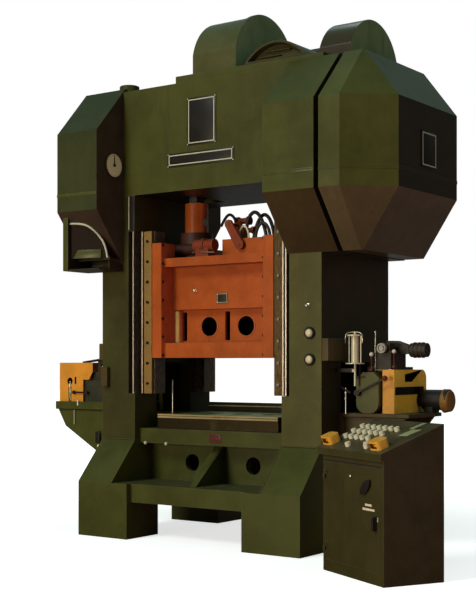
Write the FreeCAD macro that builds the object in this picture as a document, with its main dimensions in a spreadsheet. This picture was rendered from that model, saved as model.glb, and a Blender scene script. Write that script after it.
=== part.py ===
"""Straight-side mechanical stamping press with a roll feed, a scrap cutter and a control desk.

Millimetres, X to the right, Y to the back and Z up, with the front of the press
facing -Y. The origin is on the floor, in the middle of the four anchor bolts.
Every size comes from the size table below; the pieces are drawn from it with formulas.
"""
import FreeCAD, Part

import math
import os
import sys

import Sketcher

# name, value in millimetres (or a plain count or angle), what it is
SIZES = (
    ("StrokeLength", 76.2, "travel of the slide"),
    ("RunClearance", 0.05, "radial clearance of a shaft in its bearing"),
    ("GuideClearance", 0.3, "clearance of a flat guide, and of pieces that only lie close"),
    ("SeatGap", 0.3, "gap left under a piece that moves away from its seat"),
    ("FrameHalfLength", 1096, "centre of the press to the outer face of an upright"),
    ("FrameHalfDepth", 525, "centre of the press to the front face of the frame"),
    ("ThroatHalf", 736, "centre of the press to the inner face of an upright"),
    ("PlateThick", 40, "thickness of the bed, foot and crown plates"),
    ("FootHalfDepth", 827, "centre of the press to the front face of a foot"),
    ("FootInner", 570, "centre of the press to the inner side of a foot"),
    ("FootPadDepth", 405, "depth of a foot on the floor"),
    ("ArchHeight", 300, "clear height under the bed"),
    ("FootTop", 450, "height of a foot's upright front"),
    ("BedShoulder", 790, "height at which the uprights stand on the bed"),
    ("BedTop", 886, "height of the face that carries the bolster"),
    ("BedPlateHalfDepth", 460, "centre to the front of the bed's top rail"),
    ("TopRailHeight", 122, "height of the bed's top rail"),
    ("LowRailInset", 52, "how far the bed's low rail stands behind the feet"),
    ("WebInset", 290, "centre to the front face of the bed's pierced web"),
    ("WebHoleRadius", 72, "radius of the round holes in the bed's web"),
    ("WebHoleHalfPitch", 309, "centre of the press to a web hole"),
    ("WebHoleHeight", 603, "height of the web holes"),
    ("RibHalfWidth", 32, "half the width of the bed's middle rib"),
    ("RibTopInset", 339, "centre to the top end of the rib's slope"),
    ("RibFootInset", 695, "centre to the bottom end of the rib's slope"),
    ("ScrapWellHalfLength", 420, "half the length of the scrap opening in the bed's top"),
    ("ScrapWellHalfDepth", 190, "half the depth of the scrap opening in the bed's top"),
    ("AnchorHalfLength", 645, "centre to an anchor bolt, along X"),
    ("AnchorHalfDepth", 625, "centre to an anchor bolt, along Y"),
    ("AnchorHoleRadius", 18, "radius of an anchor bolt's hole"),
    ("AnchorAccessRadius", 42, "radius of the spanner hole above an anchor bolt"),
    ("InnerWall", 114, "thickness of an upright's inner wall, which carries the gibs"),
    ("NotchDepth", 71, "how far the gib seat is cut into an upright"),
    ("NotchBottom", 1177, "lower end of the gib seats"),
    ("NotchTop", 2540, "upper end of the gib seats"),
    ("WindowHalfDepth", 240, "half the depth of the strip window in an upright"),
    ("WindowBottom", 1010, "lower edge of the strip window"),
    ("WindowTop", 1440, "upper edge of the strip window"),
    ("CrownBottom", 2840, "height of the crown's underside"),
    ("CrownTop", 3720, "height of the crown's top"),
    ("DeckLeft", -320, "left end of the raised deck on the crown"),
    ("DeckHeight", 62, "height of the raised deck on the crown"),
    ("DeckHalfDepth", 500, "half the depth of the raised deck"),
    ("BayInner", 300, "centre of the press to the middle of an inner bearing wall"),
    ("BayOuter", 672, "centre of the press to the middle of an outer bearing wall"),
    ("BayWall", 60, "thickness of a bearing wall in the crown"),
    ("StrapOpeningHalf", 250, "half the depth of the crown floor's openings"),
    ("TieRodX", 900, "centre to a tie rod, along X"),
    ("TieRodY", 400, "centre to a tie rod, along Y"),
    ("TieRodRadius", 50, "radius of a tie rod"),
    ("TieNutRadius", 84, "radius of a tie rod's nut"),
    ("TieNutHeight", 75, "height of a tie rod's nut"),
    ("BolsterHalfLength", 609.5, "half the length of the bolster, 48 inches in all"),
    ("BolsterHalfDepth", 381, "half the depth of the bolster, 30 inches in all"),
    ("BolsterThick", 120, "thickness of the bolster"),
    ("SlotPitch", 152.4, "spacing of the bolster's T slots"),
    ("SlotWidth", 22, "width of a T slot's throat"),
    ("SlotHeadWidth", 38, "width of a T slot's head"),
    ("SlotHeadHeight", 18, "height of a T slot's head"),
    ("SlotDepth", 46, "depth of a T slot"),
    ("DropHoleRadius", 90, "radius of the scrap holes in the bolster"),
    ("SlideHalfLength", 609.5, "half the length of the slide"),
    ("SlideHalfDepth", 450, "half the depth of the slide over its posts"),
    ("SlideBottom", 1477, "height of the slide's face, stroke up"),
    ("SlidePostTop", 2435, "height of the slide's corner posts, stroke up"),
    ("SlidePostWidth", 97.5, "width of a corner post"),
    ("SlidePostDepth", 180, "depth of a corner post"),
    ("SlideRailHalfDepth", 408, "centre to the front of the slide's rails"),
    ("SlideRailTop", 1600, "top of the slide's bottom rail, stroke up"),
    ("SlideTopRail", 2306, "top of the slide's top rail, stroke up"),
    ("SlideTopRailHeight", 71, "height of the slide's top rail"),
    ("SlidePanelHalfDepth", 289, "centre to the slide's upper panel"),
    ("SlidePanelBottom", 1880, "lower edge of the slide's upper panel, stroke up"),
    ("SlideWebHalfDepth", 214, "centre to the slide's lower web"),
    ("SlidePlate", 30, "thickness of the slide's panels"),
    ("SlideHoleRadius", 80, "radius of the round holes in the slide"),
    ("SlideHoleHalfPitch", 187, "centre to a round hole in the slide"),
    ("SlideHoleHeight", 1737, "height of the round holes in the slide, stroke up"),
    ("SlideSlotWidth", 50, "width of the upright slots in the slide"),
    ("SlideSlotOffset", 447, "centre to a side slot in the slide"),
    ("SlideCornerRadius", 48, "radius of the rounded corners beside the lower web"),
    ("GussetSize", 14, "size of the small gussets at the ends of the slide's rails"),
    ("GibDepth", 140, "depth of a gib behind its front face"),
    ("GibRibOuter", 760, "centre to a gib's bright outer edge"),
    ("GibRibInner", 702, "centre to a gib's bright inner edge"),
    ("GibRibThick", 13, "thickness of a gib's bright edges"),
    ("GibRibReach", 51, "how far a gib's inner bright edge stands forward"),
    ("GibRibOuterReach", 99, "how far a gib's outer bright edge stands forward"),
    ("KeeperInner", 617, "centre to the inner edge of a keeper strip"),
    ("KeeperOuter", 700, "centre to the outer edge of a keeper strip"),
    ("KeeperThick", 35, "thickness of a keeper strip"),
    ("GibBoltRadius", 12, "radius of a gib or slide bolt's head"),
    ("GibBoltHeight", 10, "height of a gib or slide bolt's head"),
    ("GibBoltCount", 8, "bolts in a keeper strip"),
    ("SlideBoltCount", 7, "bolts in a corner post"),
    ("SlideBoltPitch", 153, "spacing of the corner post's bolts"),
    ("CrankHeight", 3025, "height of the crankshaft"),
    ("JournalRadius", 98, "radius of the crankshaft's journals"),
    ("EccentricRadius", 140, "radius of an eccentric"),
    ("EccentricWidth", 180, "width of an eccentric"),
    ("PointHalfPitch", 484, "centre of the press to a plunger"),
    ("BearingWall", 34, "wall of a main bearing"),
    ("BearingLength", 110, "length of a main bearing"),
    ("StrapWall", 46, "wall of a pitman's big end"),
    ("StrapPlay", 12, "free height in a pitman's big end"),
    ("PitmanWidth", 120, "width of a pitman"),
    ("PitmanShank", 55, "half the depth of a pitman's shank"),
    ("WristHeight", 2640, "height of the wrist pins, stroke up"),
    ("WristRadius", 34, "radius of a wrist pin"),
    ("PlungerRadius", 99.5, "radius of a plunger"),
    ("PlungerBore", 76, "radius of a plunger's bore"),
    ("PlungerTop", 2800, "height of a plunger's top, stroke up"),
    ("AdjusterRadius", 140, "radius of an adjusting housing"),
    ("AdjusterTop", 2545, "height of an adjusting housing's top, stroke up"),
    ("CoverWall", 6, "sheet thickness of the covers"),
    ("CoverFront", 877, "centre to the front of the wheel covers"),
    ("CoverRear", 647, "centre to the back of the right wheel covers"),
    ("CoverFoldLow", 2700, "height of the covers' lower fold"),
    ("CoverFoldHigh", 3355, "height of the covers' upper fold"),
    ("CoverBottom", 2268, "height of the covers' bottom"),
    ("CoverTop", 3750, "height of the covers' top"),
    ("CoverTopFront", 505, "centre to the front edge of the covers' top"),
    ("CoverBottomFront", 525, "centre to the front edge of the covers' bottom"),
    ("CoverEndRear", 473, "centre to the rear edge of the covers' top and bottom"),
    ("LeftCoverOuter", 1302, "centre to the left cover's end"),
    ("LeftCoverInner", 861, "centre to the left cover's inner side"),
    ("InnerCoverLeft", 796, "centre to the inner wheel cover's left side"),
    ("InnerCoverRight", 1242, "centre to the inner wheel cover's right side"),
    ("OuterCoverLeft", 1284, "centre to the outer wheel cover's left side"),
    ("OuterCoverCorner", 1460, "centre to the outer cover's front corner"),
    ("OuterCoverRight", 1785, "centre to the outer cover's right side"),
    ("OuterCoverSideFront", 595, "centre to the front edge of the outer cover's side"),
    ("OuterCoverSideRear", 365, "centre to the rear edge of the outer cover's side"),
    ("OuterCoverEnd", 1450, "centre to the right edge of the outer cover's top"),
    ("CornerTrim", 12, "trim of the outer cover's top and bottom corners"),
    ("GuardLeft", 1262, "centre to the left side of the brake guard"),
    ("GuardRight", 867, "centre to the right side of the brake guard"),
    ("GuardFront", 832, "centre to the front of the brake guard"),
    ("GuardBottom", 2207, "height of the brake guard's bottom"),
    ("GuardFrame", 46, "width of the brake guard's left post"),
    ("FlywheelRadius", 560, "radius of the flywheel"),
    ("FlywheelWidth", 210, "width of the flywheel's rim"),
    ("FlywheelRim", 110, "thickness of the flywheel's rim"),
    ("FlywheelWeb", 46, "thickness of the flywheel's web"),
    ("HubRadius", 175, "radius of the flywheel's hub"),
    ("WheelJournal", 86, "radius of the crankshaft's right end"),
    ("SheaveRadius", 600, "radius of the belt wheel"),
    ("SheaveWidth", 112, "width of the belt wheel"),
    ("BeltCount", 4, "number of belts"),
    ("BeltPitch", 25, "spacing of the belts"),
    ("BeltWidth", 17, "width of a belt"),
    ("BeltThick", 12, "thickness of a belt"),
    ("GrooveDepth", 9, "depth of a belt groove"),
    ("PulleyRadius", 122, "radius of the motor pulley"),
    ("ClutchRadius", 330, "radius of the clutch housing"),
    ("BrakeRadius", 300, "radius of the brake disc"),
    ("BrakeThick", 36, "thickness of the brake disc"),
    ("MotorHeight", 3950, "height of the drive motor's shaft"),
    ("MotorBack", 60, "distance of the drive motor's shaft behind the centre"),
    ("MotorRadius", 165, "radius of the drive motor"),
    ("MotorLeft", -130, "left end of the drive motor"),
    ("MotorRight", 215, "right end of the drive motor"),
    ("MotorShaftRadius", 30, "radius of the drive motor's shaft"),
    ("HoodLeft", -169, "left side of the motor hood"),
    ("HoodRight", 257, "right side of the motor hood"),
    ("HoodFront", 511, "centre to the front of the motor hood"),
    ("HoodRear", 375, "centre to the back of the motor hood"),
    ("HoodShoulder", 3938, "height at which the motor hood starts to curve"),
    ("HoodTop", 4277, "height of the motor hood"),
    ("BeltHoodLeft", 957, "left side of the belt hood"),
    ("BeltHoodRight", 1240, "right side of the belt hood"),
    ("BeltHoodFront", 330, "centre to the front of the belt hood"),
    ("BeltHoodRear", 400, "centre to the back of the belt hood"),
    ("BeltHoodShoulder", 3860, "height at which the belt hood starts to curve"),
    ("BeltHoodTop", 4112, "height of the belt hood"),
    ("CowlLeft", 362, "left side of the arched cowl"),
    ("CowlRight", 938, "right side of the arched cowl"),
    ("CowlFront", 500, "centre to the front of the arched cowl"),
    ("CowlRear", 90, "centre to the back of the arched cowl"),
    ("CowlRise", 152, "height of the arched cowl over its springing"),
    ("DialRadius", 100, "radius of the crank angle dial"),
    ("DialForward", 659, "centre to the crank angle dial"),
    ("DialHeight", 3083, "height of the crank angle dial"),
    ("FeedTableTop", 1050, "height of the feed's table"),
    ("FeedTableRight", 1700, "right end of the feed's table"),
    ("FeedHalfDepth", 275, "half the depth of the feed"),
    ("FeedPlate", 30, "thickness of the feed brackets' plates"),
    ("FeedLine", 1150, "height of the strip"),
    ("RollRadius", 45, "radius of a feed roll"),
    ("RollHalfLength", 190, "half the length of a feed roll"),
    ("RollX", 1450, "centre of the press to the feed rolls"),
    ("GearBoxLeft", 1250, "left side of the feed's gear case"),
    ("GearBoxRight", 1446, "right side of the feed's gear case"),
    ("GearBoxThick", 90, "thickness of the feed's gear case"),
    ("GearBoxTop", 1364, "height of the feed's gear case"),
    ("FeedGuardLeft", 1456, "left side of the feed's guard"),
    ("FeedGuardRight", 1557, "right side of the feed's guard"),
    ("FeedGuardTop", 1382, "height of the feed's guard"),
    ("FeedMotorRadius", 84, "radius of the feed's motor"),
    ("FeedMotorY", 190, "distance of the feed's motor behind the centre"),
    ("FeedMotorRight", 1822, "right end of the feed's motor"),
    ("LeverLength", 246, "length of the feed's hand lever"),
    ("LeverRadius", 7, "radius of the lever rods"),
    ("BallRadius", 17, "radius of the lever balls"),
    ("HandwheelRadius", 38, "radius of the feed's handwheel"),
    ("OilerX", 1268, "centre of the press to the oiler"),
    ("OilerY", -320, "front distance of the oiler"),
    ("OilerBottom", 1425, "height of the oiler's foot plate"),
    ("OilerTop", 1636, "height of the oiler's cap"),
    ("OilerRadius", 56, "radius of the oiler's bowl"),
    ("DuctTop", 1620, "height of the right junction box"),
    ("DuctHeight", 173, "height of a junction box"),
    ("DuctDepth", 60, "depth of a junction box"),
    ("ButtonHigh", 1660, "height of the right upright's upper lamp"),
    ("ButtonLow", 1459, "height of the right upright's lower lamp"),
    ("LampRadius", 44, "radius of the right upright's lamps"),
    ("ShelfEnd", 1840, "centre to the end of the left shelf"),
    ("ShelfTop", 1090, "height of the left shelf"),
    ("ShelfFront", 325, "centre to the front of the left shelf"),
    ("ShelfLip", 70, "height of the left shelf's edge"),
    ("LeftGuardRight", 1419, "centre to the right edge of the left guard"),
    ("LeftGuardTop", 1437, "height of the left guard"),
    ("DeskTurn", 29, "how far the control desk is turned clockwise, in degrees"),
    ("DeskX", 2166, "place of the control desk's front right corner, along X"),
    ("DeskY", -1514, "place of the control desk's front right corner, along Y"),
    ("DeskLength", 777, "length of the control desk"),
    ("DeskDepth", 463, "depth of the control desk"),
    ("DeskBodyTop", 804, "height of the control desk's cabinet"),
    ("DeskLipTop", 850, "height of the desk's front lip"),
    ("DeskRearTop", 1034, "height of the desk's back edge"),
    ("DeskOverhang", 24, "how far the desk stands over its cabinet"),
    ("DeskLeftOver", 50, "how far the desk stands over its cabinet at the left"),
    ("DeskWall", 4, "sheet thickness of the control desk"),
    ("DeskPlinth", 68, "height of the cabinet's plinth"),
    ("DoorThick", 18, "thickness of the cabinet's door"),
    ("DoorGap", 2, "gap round the cabinet's door"),
    ("DoorMargin", 34, "cabinet edge left round the door"),
    ("HingeRadius", 7, "radius of the door's hinge knuckles"),
    ("HingeBack", 10, "how far the door's hinges stand in front of the cabinet"),
    ("KeyRadius", 19, "radius of a push button"),
    ("KeyHeight", 28, "height of a push button"),
    ("KeyPitch", 73, "spacing of the push buttons"),
    ("PalmRadius", 34, "radius of a palm button"),
    ("PalmHoodHalfLength", 62, "half the length of a palm button's hood"),
    ("PalmHoodHalfDepth", 48, "half the depth of a palm button's hood"),
    ("PalmHoodHeight", 60, "height of a palm button's hood"),
    ("PalmTravel", 6, "travel of a palm button"),
)

document = FreeCAD.newDocument("stamping_press")
table = document.addObject("Spreadsheet::Sheet", "Size")
VECTOR = FreeCAD.Vector
TO_X = FreeCAD.Rotation(VECTOR(0, 1, 0), 90)
TO_Y = FreeCAD.Rotation(VECTOR(1, 0, 0), -90)
UPRIGHT = FreeCAD.Rotation()
TURNS = {"X": TO_X, "Y": TO_Y, "Z": UPRIGHT}
SIDES = (("left", -1), ("right", 1))
ENDS = (-1, 1)


class Dim:
    """A length worked out from the size table: its formula, and its value."""

    def __init__(self, text, value):
        self.text = text
        self.value = float(value)

    def __add__(self, other):
        return joined(self, "+", other, self.value + dim(other).value)

    def __radd__(self, other):
        return dim(other) + self

    def __sub__(self, other):
        return joined(self, "-", other, self.value - dim(other).value)

    def __rsub__(self, other):
        return dim(other) - self

    def __mul__(self, other):
        return joined(self, "*", other, self.value * dim(other).value)

    def __rmul__(self, other):
        return dim(other) * self

    def __truediv__(self, other):
        return joined(self, "/", other, self.value / dim(other).value)

    def __neg__(self):
        return self * -1


def dim(thing):
    """A number or a Dim, as a Dim."""
    return thing if isinstance(thing, Dim) else Dim("(%.9g)" % thing, thing)


def joined(one, sign, other, value):
    """The Dim of two terms joined by a sign."""
    return Dim("(%s %s %s)" % (one.text, sign, dim(other).text), value)


def root(term):
    """The square root of a Dim."""
    return Dim("sqrt(%s)" % term.text, math.sqrt(term.value))


def fill_table():
    """Writes the size table, and returns its sizes as Dims by name."""
    for row, (name, value, meaning) in enumerate(SIZES, start=1):
        table.set("A%d" % row, meaning)
        table.set("B%d" % row, "%.9g" % value)
        table.setAlias("B%d" % row, name)
    document.recompute()
    return {name: Dim("Size.%s" % name, value) for name, value, meaning in SIZES}


S = fill_table()
nodes = {}
counter = [0]


def fresh(stem):
    """A name that no other object of the document has."""
    counter[0] += 1
    return "%s_%d" % (stem, counter[0])


def bind(thing, **formulas):
    """Ties properties to formulas; base_x, base_y and base_z are the place."""
    for name, formula in formulas.items():
        path = "Placement.Base.%s" % name[-1] if name.startswith("base_") else name
        thing.setExpression(path, dim(formula).text)
    return thing


def box(x, y, z):
    """A block between low and high limits along each axis."""
    block = document.addObject("Part::Box", fresh("box"))
    bind(block, Length=x[1] - dim(x[0]), Width=y[1] - dim(y[0]), Height=z[1] - dim(z[0]))
    return bind(block, base_x=x[0], base_y=y[0], base_z=z[0])


def rod(axis, radius, start, end, across=(0, 0)):
    """A cylinder along an axis from start to end; across is its place on the other two axes."""
    item = document.addObject("Part::Cylinder", fresh("rod"))
    item.Placement = FreeCAD.Placement(VECTOR(), TURNS[axis])
    bind(item, Radius=radius, Height=end - dim(start))
    place = dict(zip([name for name in "XYZ" if name != axis], across))
    place[axis] = start
    return bind(item, base_x=place["X"], base_y=place["Y"], base_z=place["Z"])


def ball(radius, x, y, z):
    """A sphere."""
    item = document.addObject("Part::Sphere", fresh("ball"))
    bind(item, Radius=radius)
    return bind(item, base_x=x, base_y=y, base_z=z)


def fuse(*items):
    """One solid made of several."""
    flat = [item for item in items if item]
    if len(flat) == 1:
        return flat[0]
    union = document.addObject("Part::MultiFuse", fresh("fuse"))
    union.Shapes = flat
    union.Refine = True
    return union


def cut(base, *tools):
    """The base with the tools taken away."""
    result = document.addObject("Part::Cut", fresh("cut"))
    result.Base = base
    result.Tool = fuse(*tools)
    result.Refine = True
    return result


def group(*items):
    """Separate solids that make one node."""
    gathered = document.addObject("Part::Compound", fresh("group"))
    gathered.Links = list(items)
    return gathered


def mirrored(item, axis):
    """The mirror image of a piece through the press's centre plane across an axis."""
    image = document.addObject("Part::Mirroring", fresh("mirror"))
    image.Source = item
    image.Normal = {"X": VECTOR(1, 0, 0), "Y": VECTOR(0, 1, 0)}[axis]
    return image


def arc_middle(start, end, radius):
    """The middle of an arc that turns left from start to end, or right with a negative radius."""
    chord = end - start
    half = chord.Length / 2
    size = abs(radius)
    rise = size - math.sqrt(max(size * size - half * half, 0.0))
    outward = VECTOR(chord.y, -chord.x, 0).normalize()
    if radius < 0:
        outward = outward * -1
    return (start + end) * 0.5 + outward * rise


def draw(sketch, points):
    """Draws a closed outline whose corners, and the radii of its arcs, follow the size table.

    A point is (u, v), or (u, v, radius) where the stretch that leaves it is an arc.
    """
    corners = [VECTOR(dim(point[0]).value, dim(point[1]).value, 0) for point in points]
    first = sketch.GeometryCount
    for index, point in enumerate(points):
        start, end = corners[index], corners[(index + 1) % len(points)]
        if len(point) == 2:
            sketch.addGeometry(Part.LineSegment(start, end), False)
        else:
            middle = arc_middle(start, end, dim(point[2]).value)
            sketch.addGeometry(Part.Arc(start, middle, end), False)
    for index, point in enumerate(points):
        edge, after = first + index, first + (index + 1) % len(points)
        turned_back = len(point) == 3 and dim(point[2]).value < 0
        next_back = len(points[(index + 1) % len(points)]) == 3 and \
            dim(points[(index + 1) % len(points)][2]).value < 0
        leaving, arriving = (2, 1) if turned_back else (1, 2)
        sketch.addConstraint(Sketcher.Constraint("Coincident", edge, arriving, after, 2 if next_back else 1))
        for kind, value in (("DistanceX", point[0]), ("DistanceY", point[1])):
            place = sketch.addConstraint(Sketcher.Constraint(kind, -1, 1, edge, leaving, dim(value).value))
            sketch.setExpression("Constraints[%d]" % place, dim(value).text)
        if len(point) == 3:
            size = dim(point[2]) * (-1 if turned_back else 1)
            place = sketch.addConstraint(Sketcher.Constraint("Radius", edge, size.value))
            sketch.setExpression("Constraints[%d]" % place, size.text)


def sketch_on(body, plane, offset=0):
    """A sketch on one of a body's own planes, moved along the plane's normal."""
    sketch = body.newObject("Sketcher::SketchObject", fresh("sketch"))
    support = [item for item in body.Origin.OriginFeatures if item.Role == plane + "_Plane"][0]
    sketch.AttachmentSupport = (support, [""])
    sketch.MapMode = "FlatFace"
    sketch.setExpression("AttachmentOffset.Base.z", dim(offset).text)
    return sketch


def slab(plane, points, low, high, holes=()):
    """An outline in a plane, padded between two distances along the plane's axis."""
    body = document.addObject("PartDesign::Body", fresh("slab"))
    outward = plane != "XZ"
    sketch = sketch_on(body, plane, low if outward else -dim(high))
    for outline in (points,) + tuple(holes):
        draw(sketch, outline)
    pad = body.newObject("PartDesign::Pad", fresh("pad"))
    pad.Profile = sketch
    pad.setExpression("Length", (high - dim(low)).text)
    return body


def turned(points, x=0, y=0, z=0, axis="X"):
    """A piece turned about an axis: points are (distance along the axis, radius)."""
    body = document.addObject("PartDesign::Body", fresh("turned"))
    sketch = sketch_on(body, "XY")
    draw(sketch, points)
    spin = body.newObject("PartDesign::Revolution", fresh("spin"))
    spin.Profile = sketch
    spin.ReferenceAxis = (sketch, ["H_Axis"])
    spin.Angle = 360
    turns = {"X": UPRIGHT, "Y": FreeCAD.Rotation(VECTOR(0, 0, 1), 90),
             "Z": FreeCAD.Rotation(VECTOR(0, 1, 0), -90)}
    body.Placement = FreeCAD.Placement(VECTOR(), turns[axis])
    return bind(body, base_x=x, base_y=y, base_z=z)


def node(name, item):
    """Keeps a finished piece under its own label."""
    holder = group(item) if item.TypeId != "Part::Compound" else item
    holder.Label = name
    nodes[name] = holder
    return holder


def span(middle, half):
    """The limits of a width about a middle."""
    return (middle - dim(half), middle + dim(half))


def even(half):
    """The limits of a width about the centre of the press."""
    return (-dim(half), dim(half))


def side_span(sign, inner, outer):
    """Limits along X or Y on one side of the press."""
    return (dim(inner), dim(outer)) if sign > 0 else (-dim(outer), -dim(inner))


# ---------------------------------------------------------------- frame

def half_bed_parts():
    """The bed's front half, still without its mirrored back."""
    front, plate = -S["FootHalfDepth"], S["PlateThick"]
    shoulder = S["BedShoulder"]
    parts = []
    for name, sign in SIDES:
        pad = box(side_span(sign, S["FootInner"], S["FrameHalfLength"]),
                  (front, front + S["FootPadDepth"]), (0, S["FootTop"]))
        hollow = box(side_span(sign, S["FootInner"] + plate, S["FrameHalfLength"] - plate),
                     (front + plate, front + S["FootPadDepth"] - plate), (plate, S["FootTop"] - plate))
        hole = rod("Z", S["AnchorHoleRadius"], -1, plate + 1,
                   (sign * S["AnchorHalfLength"], -S["AnchorHalfDepth"]))
        access = rod("Z", S["AnchorAccessRadius"], S["FootTop"] - plate - 1, S["FootTop"] + 1,
                     (sign * S["AnchorHalfLength"], -S["AnchorHalfDepth"]))
        parts.append(cut(pad, hollow, hole, access))
        slope = [(front, S["FootTop"]), (-S["FrameHalfDepth"], shoulder),
                 (-S["FrameHalfDepth"] + plate, shoulder), (-S["FrameHalfDepth"] + plate, S["FootTop"])]
        low, high = side_span(sign, S["ThroatHalf"], S["FrameHalfLength"])
        parts.append(slab("YZ", slope, low, high))
    rail_front = front + S["LowRailInset"]
    parts.append(box(even(S["FootInner"]), (rail_front, rail_front + plate),
                     (S["ArchHeight"], S["FootTop"])))
    parts.append(box(even(S["ThroatHalf"]), (rail_front, -S["WebInset"]),
                     (S["FootTop"] - plate, S["FootTop"])))
    web = box(even(S["ThroatHalf"]), (-S["WebInset"], -S["WebInset"] + plate),
              (S["ArchHeight"], S["BedTop"]))
    holes = [rod("Y", S["WebHoleRadius"], -S["WebInset"] - 1, -S["WebInset"] + plate + 1,
                 (sign * S["WebHoleHalfPitch"], S["WebHoleHeight"])) for name, sign in SIDES]
    parts.append(cut(web, *holes))
    rail_low = S["BedTop"] - S["TopRailHeight"]
    parts.append(box(even(S["ThroatHalf"]), (-S["BedPlateHalfDepth"], -S["BedPlateHalfDepth"] + plate),
                     (rail_low, S["BedTop"])))
    rib = [(-S["WebInset"], S["FootTop"]), (-S["RibFootInset"], S["FootTop"]),
           (-S["RibTopInset"], rail_low), (-S["RibTopInset"], S["BedTop"] - plate),
           (-S["WebInset"], S["BedTop"] - plate)]
    parts.append(slab("YZ", rib, *even(S["RibHalfWidth"])))
    return parts


def make_bed():
    """The welded bed with its four feet, low rails, pierced webs and top plate."""
    plate = S["PlateThick"]
    half = fuse(*half_bed_parts())
    ends = []
    for name, sign in SIDES:
        block = box(side_span(sign, S["ThroatHalf"], S["FrameHalfLength"]), even(S["FrameHalfDepth"]),
                    (S["ArchHeight"], S["BedShoulder"]))
        hollow = box(side_span(sign, S["ThroatHalf"] + plate, S["FrameHalfLength"] - plate),
                     even(S["FrameHalfDepth"] - plate), (S["ArchHeight"] + plate, S["BedShoulder"] - plate))
        ends.append(cut(block, hollow))
    top = box(even(S["ThroatHalf"]), even(S["BedPlateHalfDepth"]), (S["BedTop"] - plate, S["BedTop"]))
    well = box(even(S["ScrapWellHalfLength"]), even(S["ScrapWellHalfDepth"]),
               (S["BedTop"] - plate - 1, S["BedTop"] + 1))
    whole = fuse(half, mirrored(half, "Y"), cut(top, well), *ends)
    rods = [rod("Z", S["TieRodRadius"] + 2, S["BedShoulder"] - plate - 1, S["BedShoulder"] + 1,
                (x * S["TieRodX"], y * S["TieRodY"])) for x in ENDS for y in ENDS]
    node("bed", cut(whole, *rods))


def make_upright(name, sign):
    """A hollow upright with its gib seats and its window for the strip."""
    plate = S["PlateThick"]
    z = (S["BedShoulder"], S["CrownBottom"])
    outer = box(side_span(sign, S["ThroatHalf"], S["FrameHalfLength"]), even(S["FrameHalfDepth"]), z)
    cuts = [box(side_span(sign, S["ThroatHalf"] + S["InnerWall"], S["FrameHalfLength"] - plate),
                even(S["FrameHalfDepth"] - plate), (z[0] + plate, z[1] - plate))]
    cuts.append(box(side_span(sign, S["ThroatHalf"] - 1, S["FrameHalfLength"] + 1),
                    even(S["WindowHalfDepth"]), (S["WindowBottom"], S["WindowTop"])))
    for end in ENDS:
        seat = side_span(end, S["SlideHalfDepth"] - S["KeeperThick"] - S["GibDepth"],
                         S["FrameHalfDepth"] + 1)
        cuts.append(box(side_span(sign, S["ThroatHalf"] - 1, S["ThroatHalf"] + S["NotchDepth"]), seat,
                        (S["NotchBottom"], S["NotchTop"])))
        cuts.append(rod("Z", S["TieRodRadius"] + 2, z[0] - 1, z[1] + 1,
                        (sign * S["TieRodX"], end * S["TieRodY"])))
    node(name + "_upright", cut(outer, *cuts))


def make_crown():
    """The hollow crown with its bearing walls and the openings for the pitmans."""
    plate, low, high = S["PlateThick"], S["CrownBottom"], S["CrownTop"]
    outer = box(even(S["FrameHalfLength"]), even(S["FrameHalfDepth"]), (low, high))
    deck = box((S["DeckLeft"], S["FrameHalfLength"]), even(S["DeckHalfDepth"]),
               (high, high + S["DeckHeight"]))
    half_wall = S["BayWall"] / 2
    bays = [even(S["BayInner"] - half_wall)]
    for name, sign in SIDES:
        bays.append(side_span(sign, S["BayInner"] + half_wall, S["BayOuter"] - half_wall))
        bays.append(side_span(sign, S["BayOuter"] + half_wall, S["FrameHalfLength"] - plate))
    cuts = [box(bay, even(S["FrameHalfDepth"] - plate), (low + plate, high - plate)) for bay in bays]
    bore = S["JournalRadius"] + S["RunClearance"] + S["BearingWall"]
    reach = S["FrameHalfLength"] + 1
    cuts.append(rod("X", bore, -reach, reach, (0, S["CrankHeight"])))
    for name, sign in SIDES:
        half = S["EccentricWidth"] / 2 + 34
        middle = sign * S["PointHalfPitch"]
        cuts.append(box(span(middle, half), even(S["StrapOpeningHalf"]), (low - 1, low + plate + 1)))
        for end in ENDS:
            cuts.append(rod("Z", S["TieRodRadius"] + 2, low - 1, high + S["DeckHeight"] + 1,
                            (sign * S["TieRodX"], end * S["TieRodY"])))
            cuts.append(rod("Z", S["TieNutRadius"] + 2, tie_nut_seat(sign), high + S["DeckHeight"] + 1,
                            (sign * S["TieRodX"], end * S["TieRodY"])))
    node("crown", cut(fuse(outer, deck), *cuts))


def tie_nut_seat(sign):
    """The height of a tie rod nut's seat: sunk flush with the deck on the right."""
    return S["CrownTop"] + S["DeckHeight"] - S["TieNutHeight"] if sign > 0 else S["CrownTop"]


def make_tie_rods():
    """The four tie rods that hold the frame together, and their nuts."""
    rods, nuts = [], []
    seat = S["BedShoulder"] - S["PlateThick"] - S["TieNutHeight"]
    bottom = seat - 20
    for name, sign in SIDES:
        top = tie_nut_seat(sign)
        for end in ENDS:
            across = (sign * S["TieRodX"], end * S["TieRodY"])
            rods.append(rod("Z", S["TieRodRadius"], bottom, top + S["TieNutHeight"] - 6, across))
            for low in (seat, top):
                nut = rod("Z", S["TieNutRadius"], low, low + S["TieNutHeight"], across)
                nuts.append(cut(nut, rod("Z", S["TieRodRadius"] + S["RunClearance"], low - 1,
                                         low + S["TieNutHeight"] + 1, across)))
    node("tie_rods", group(*rods))
    node("tie_rod_nuts", group(*nuts))


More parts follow.
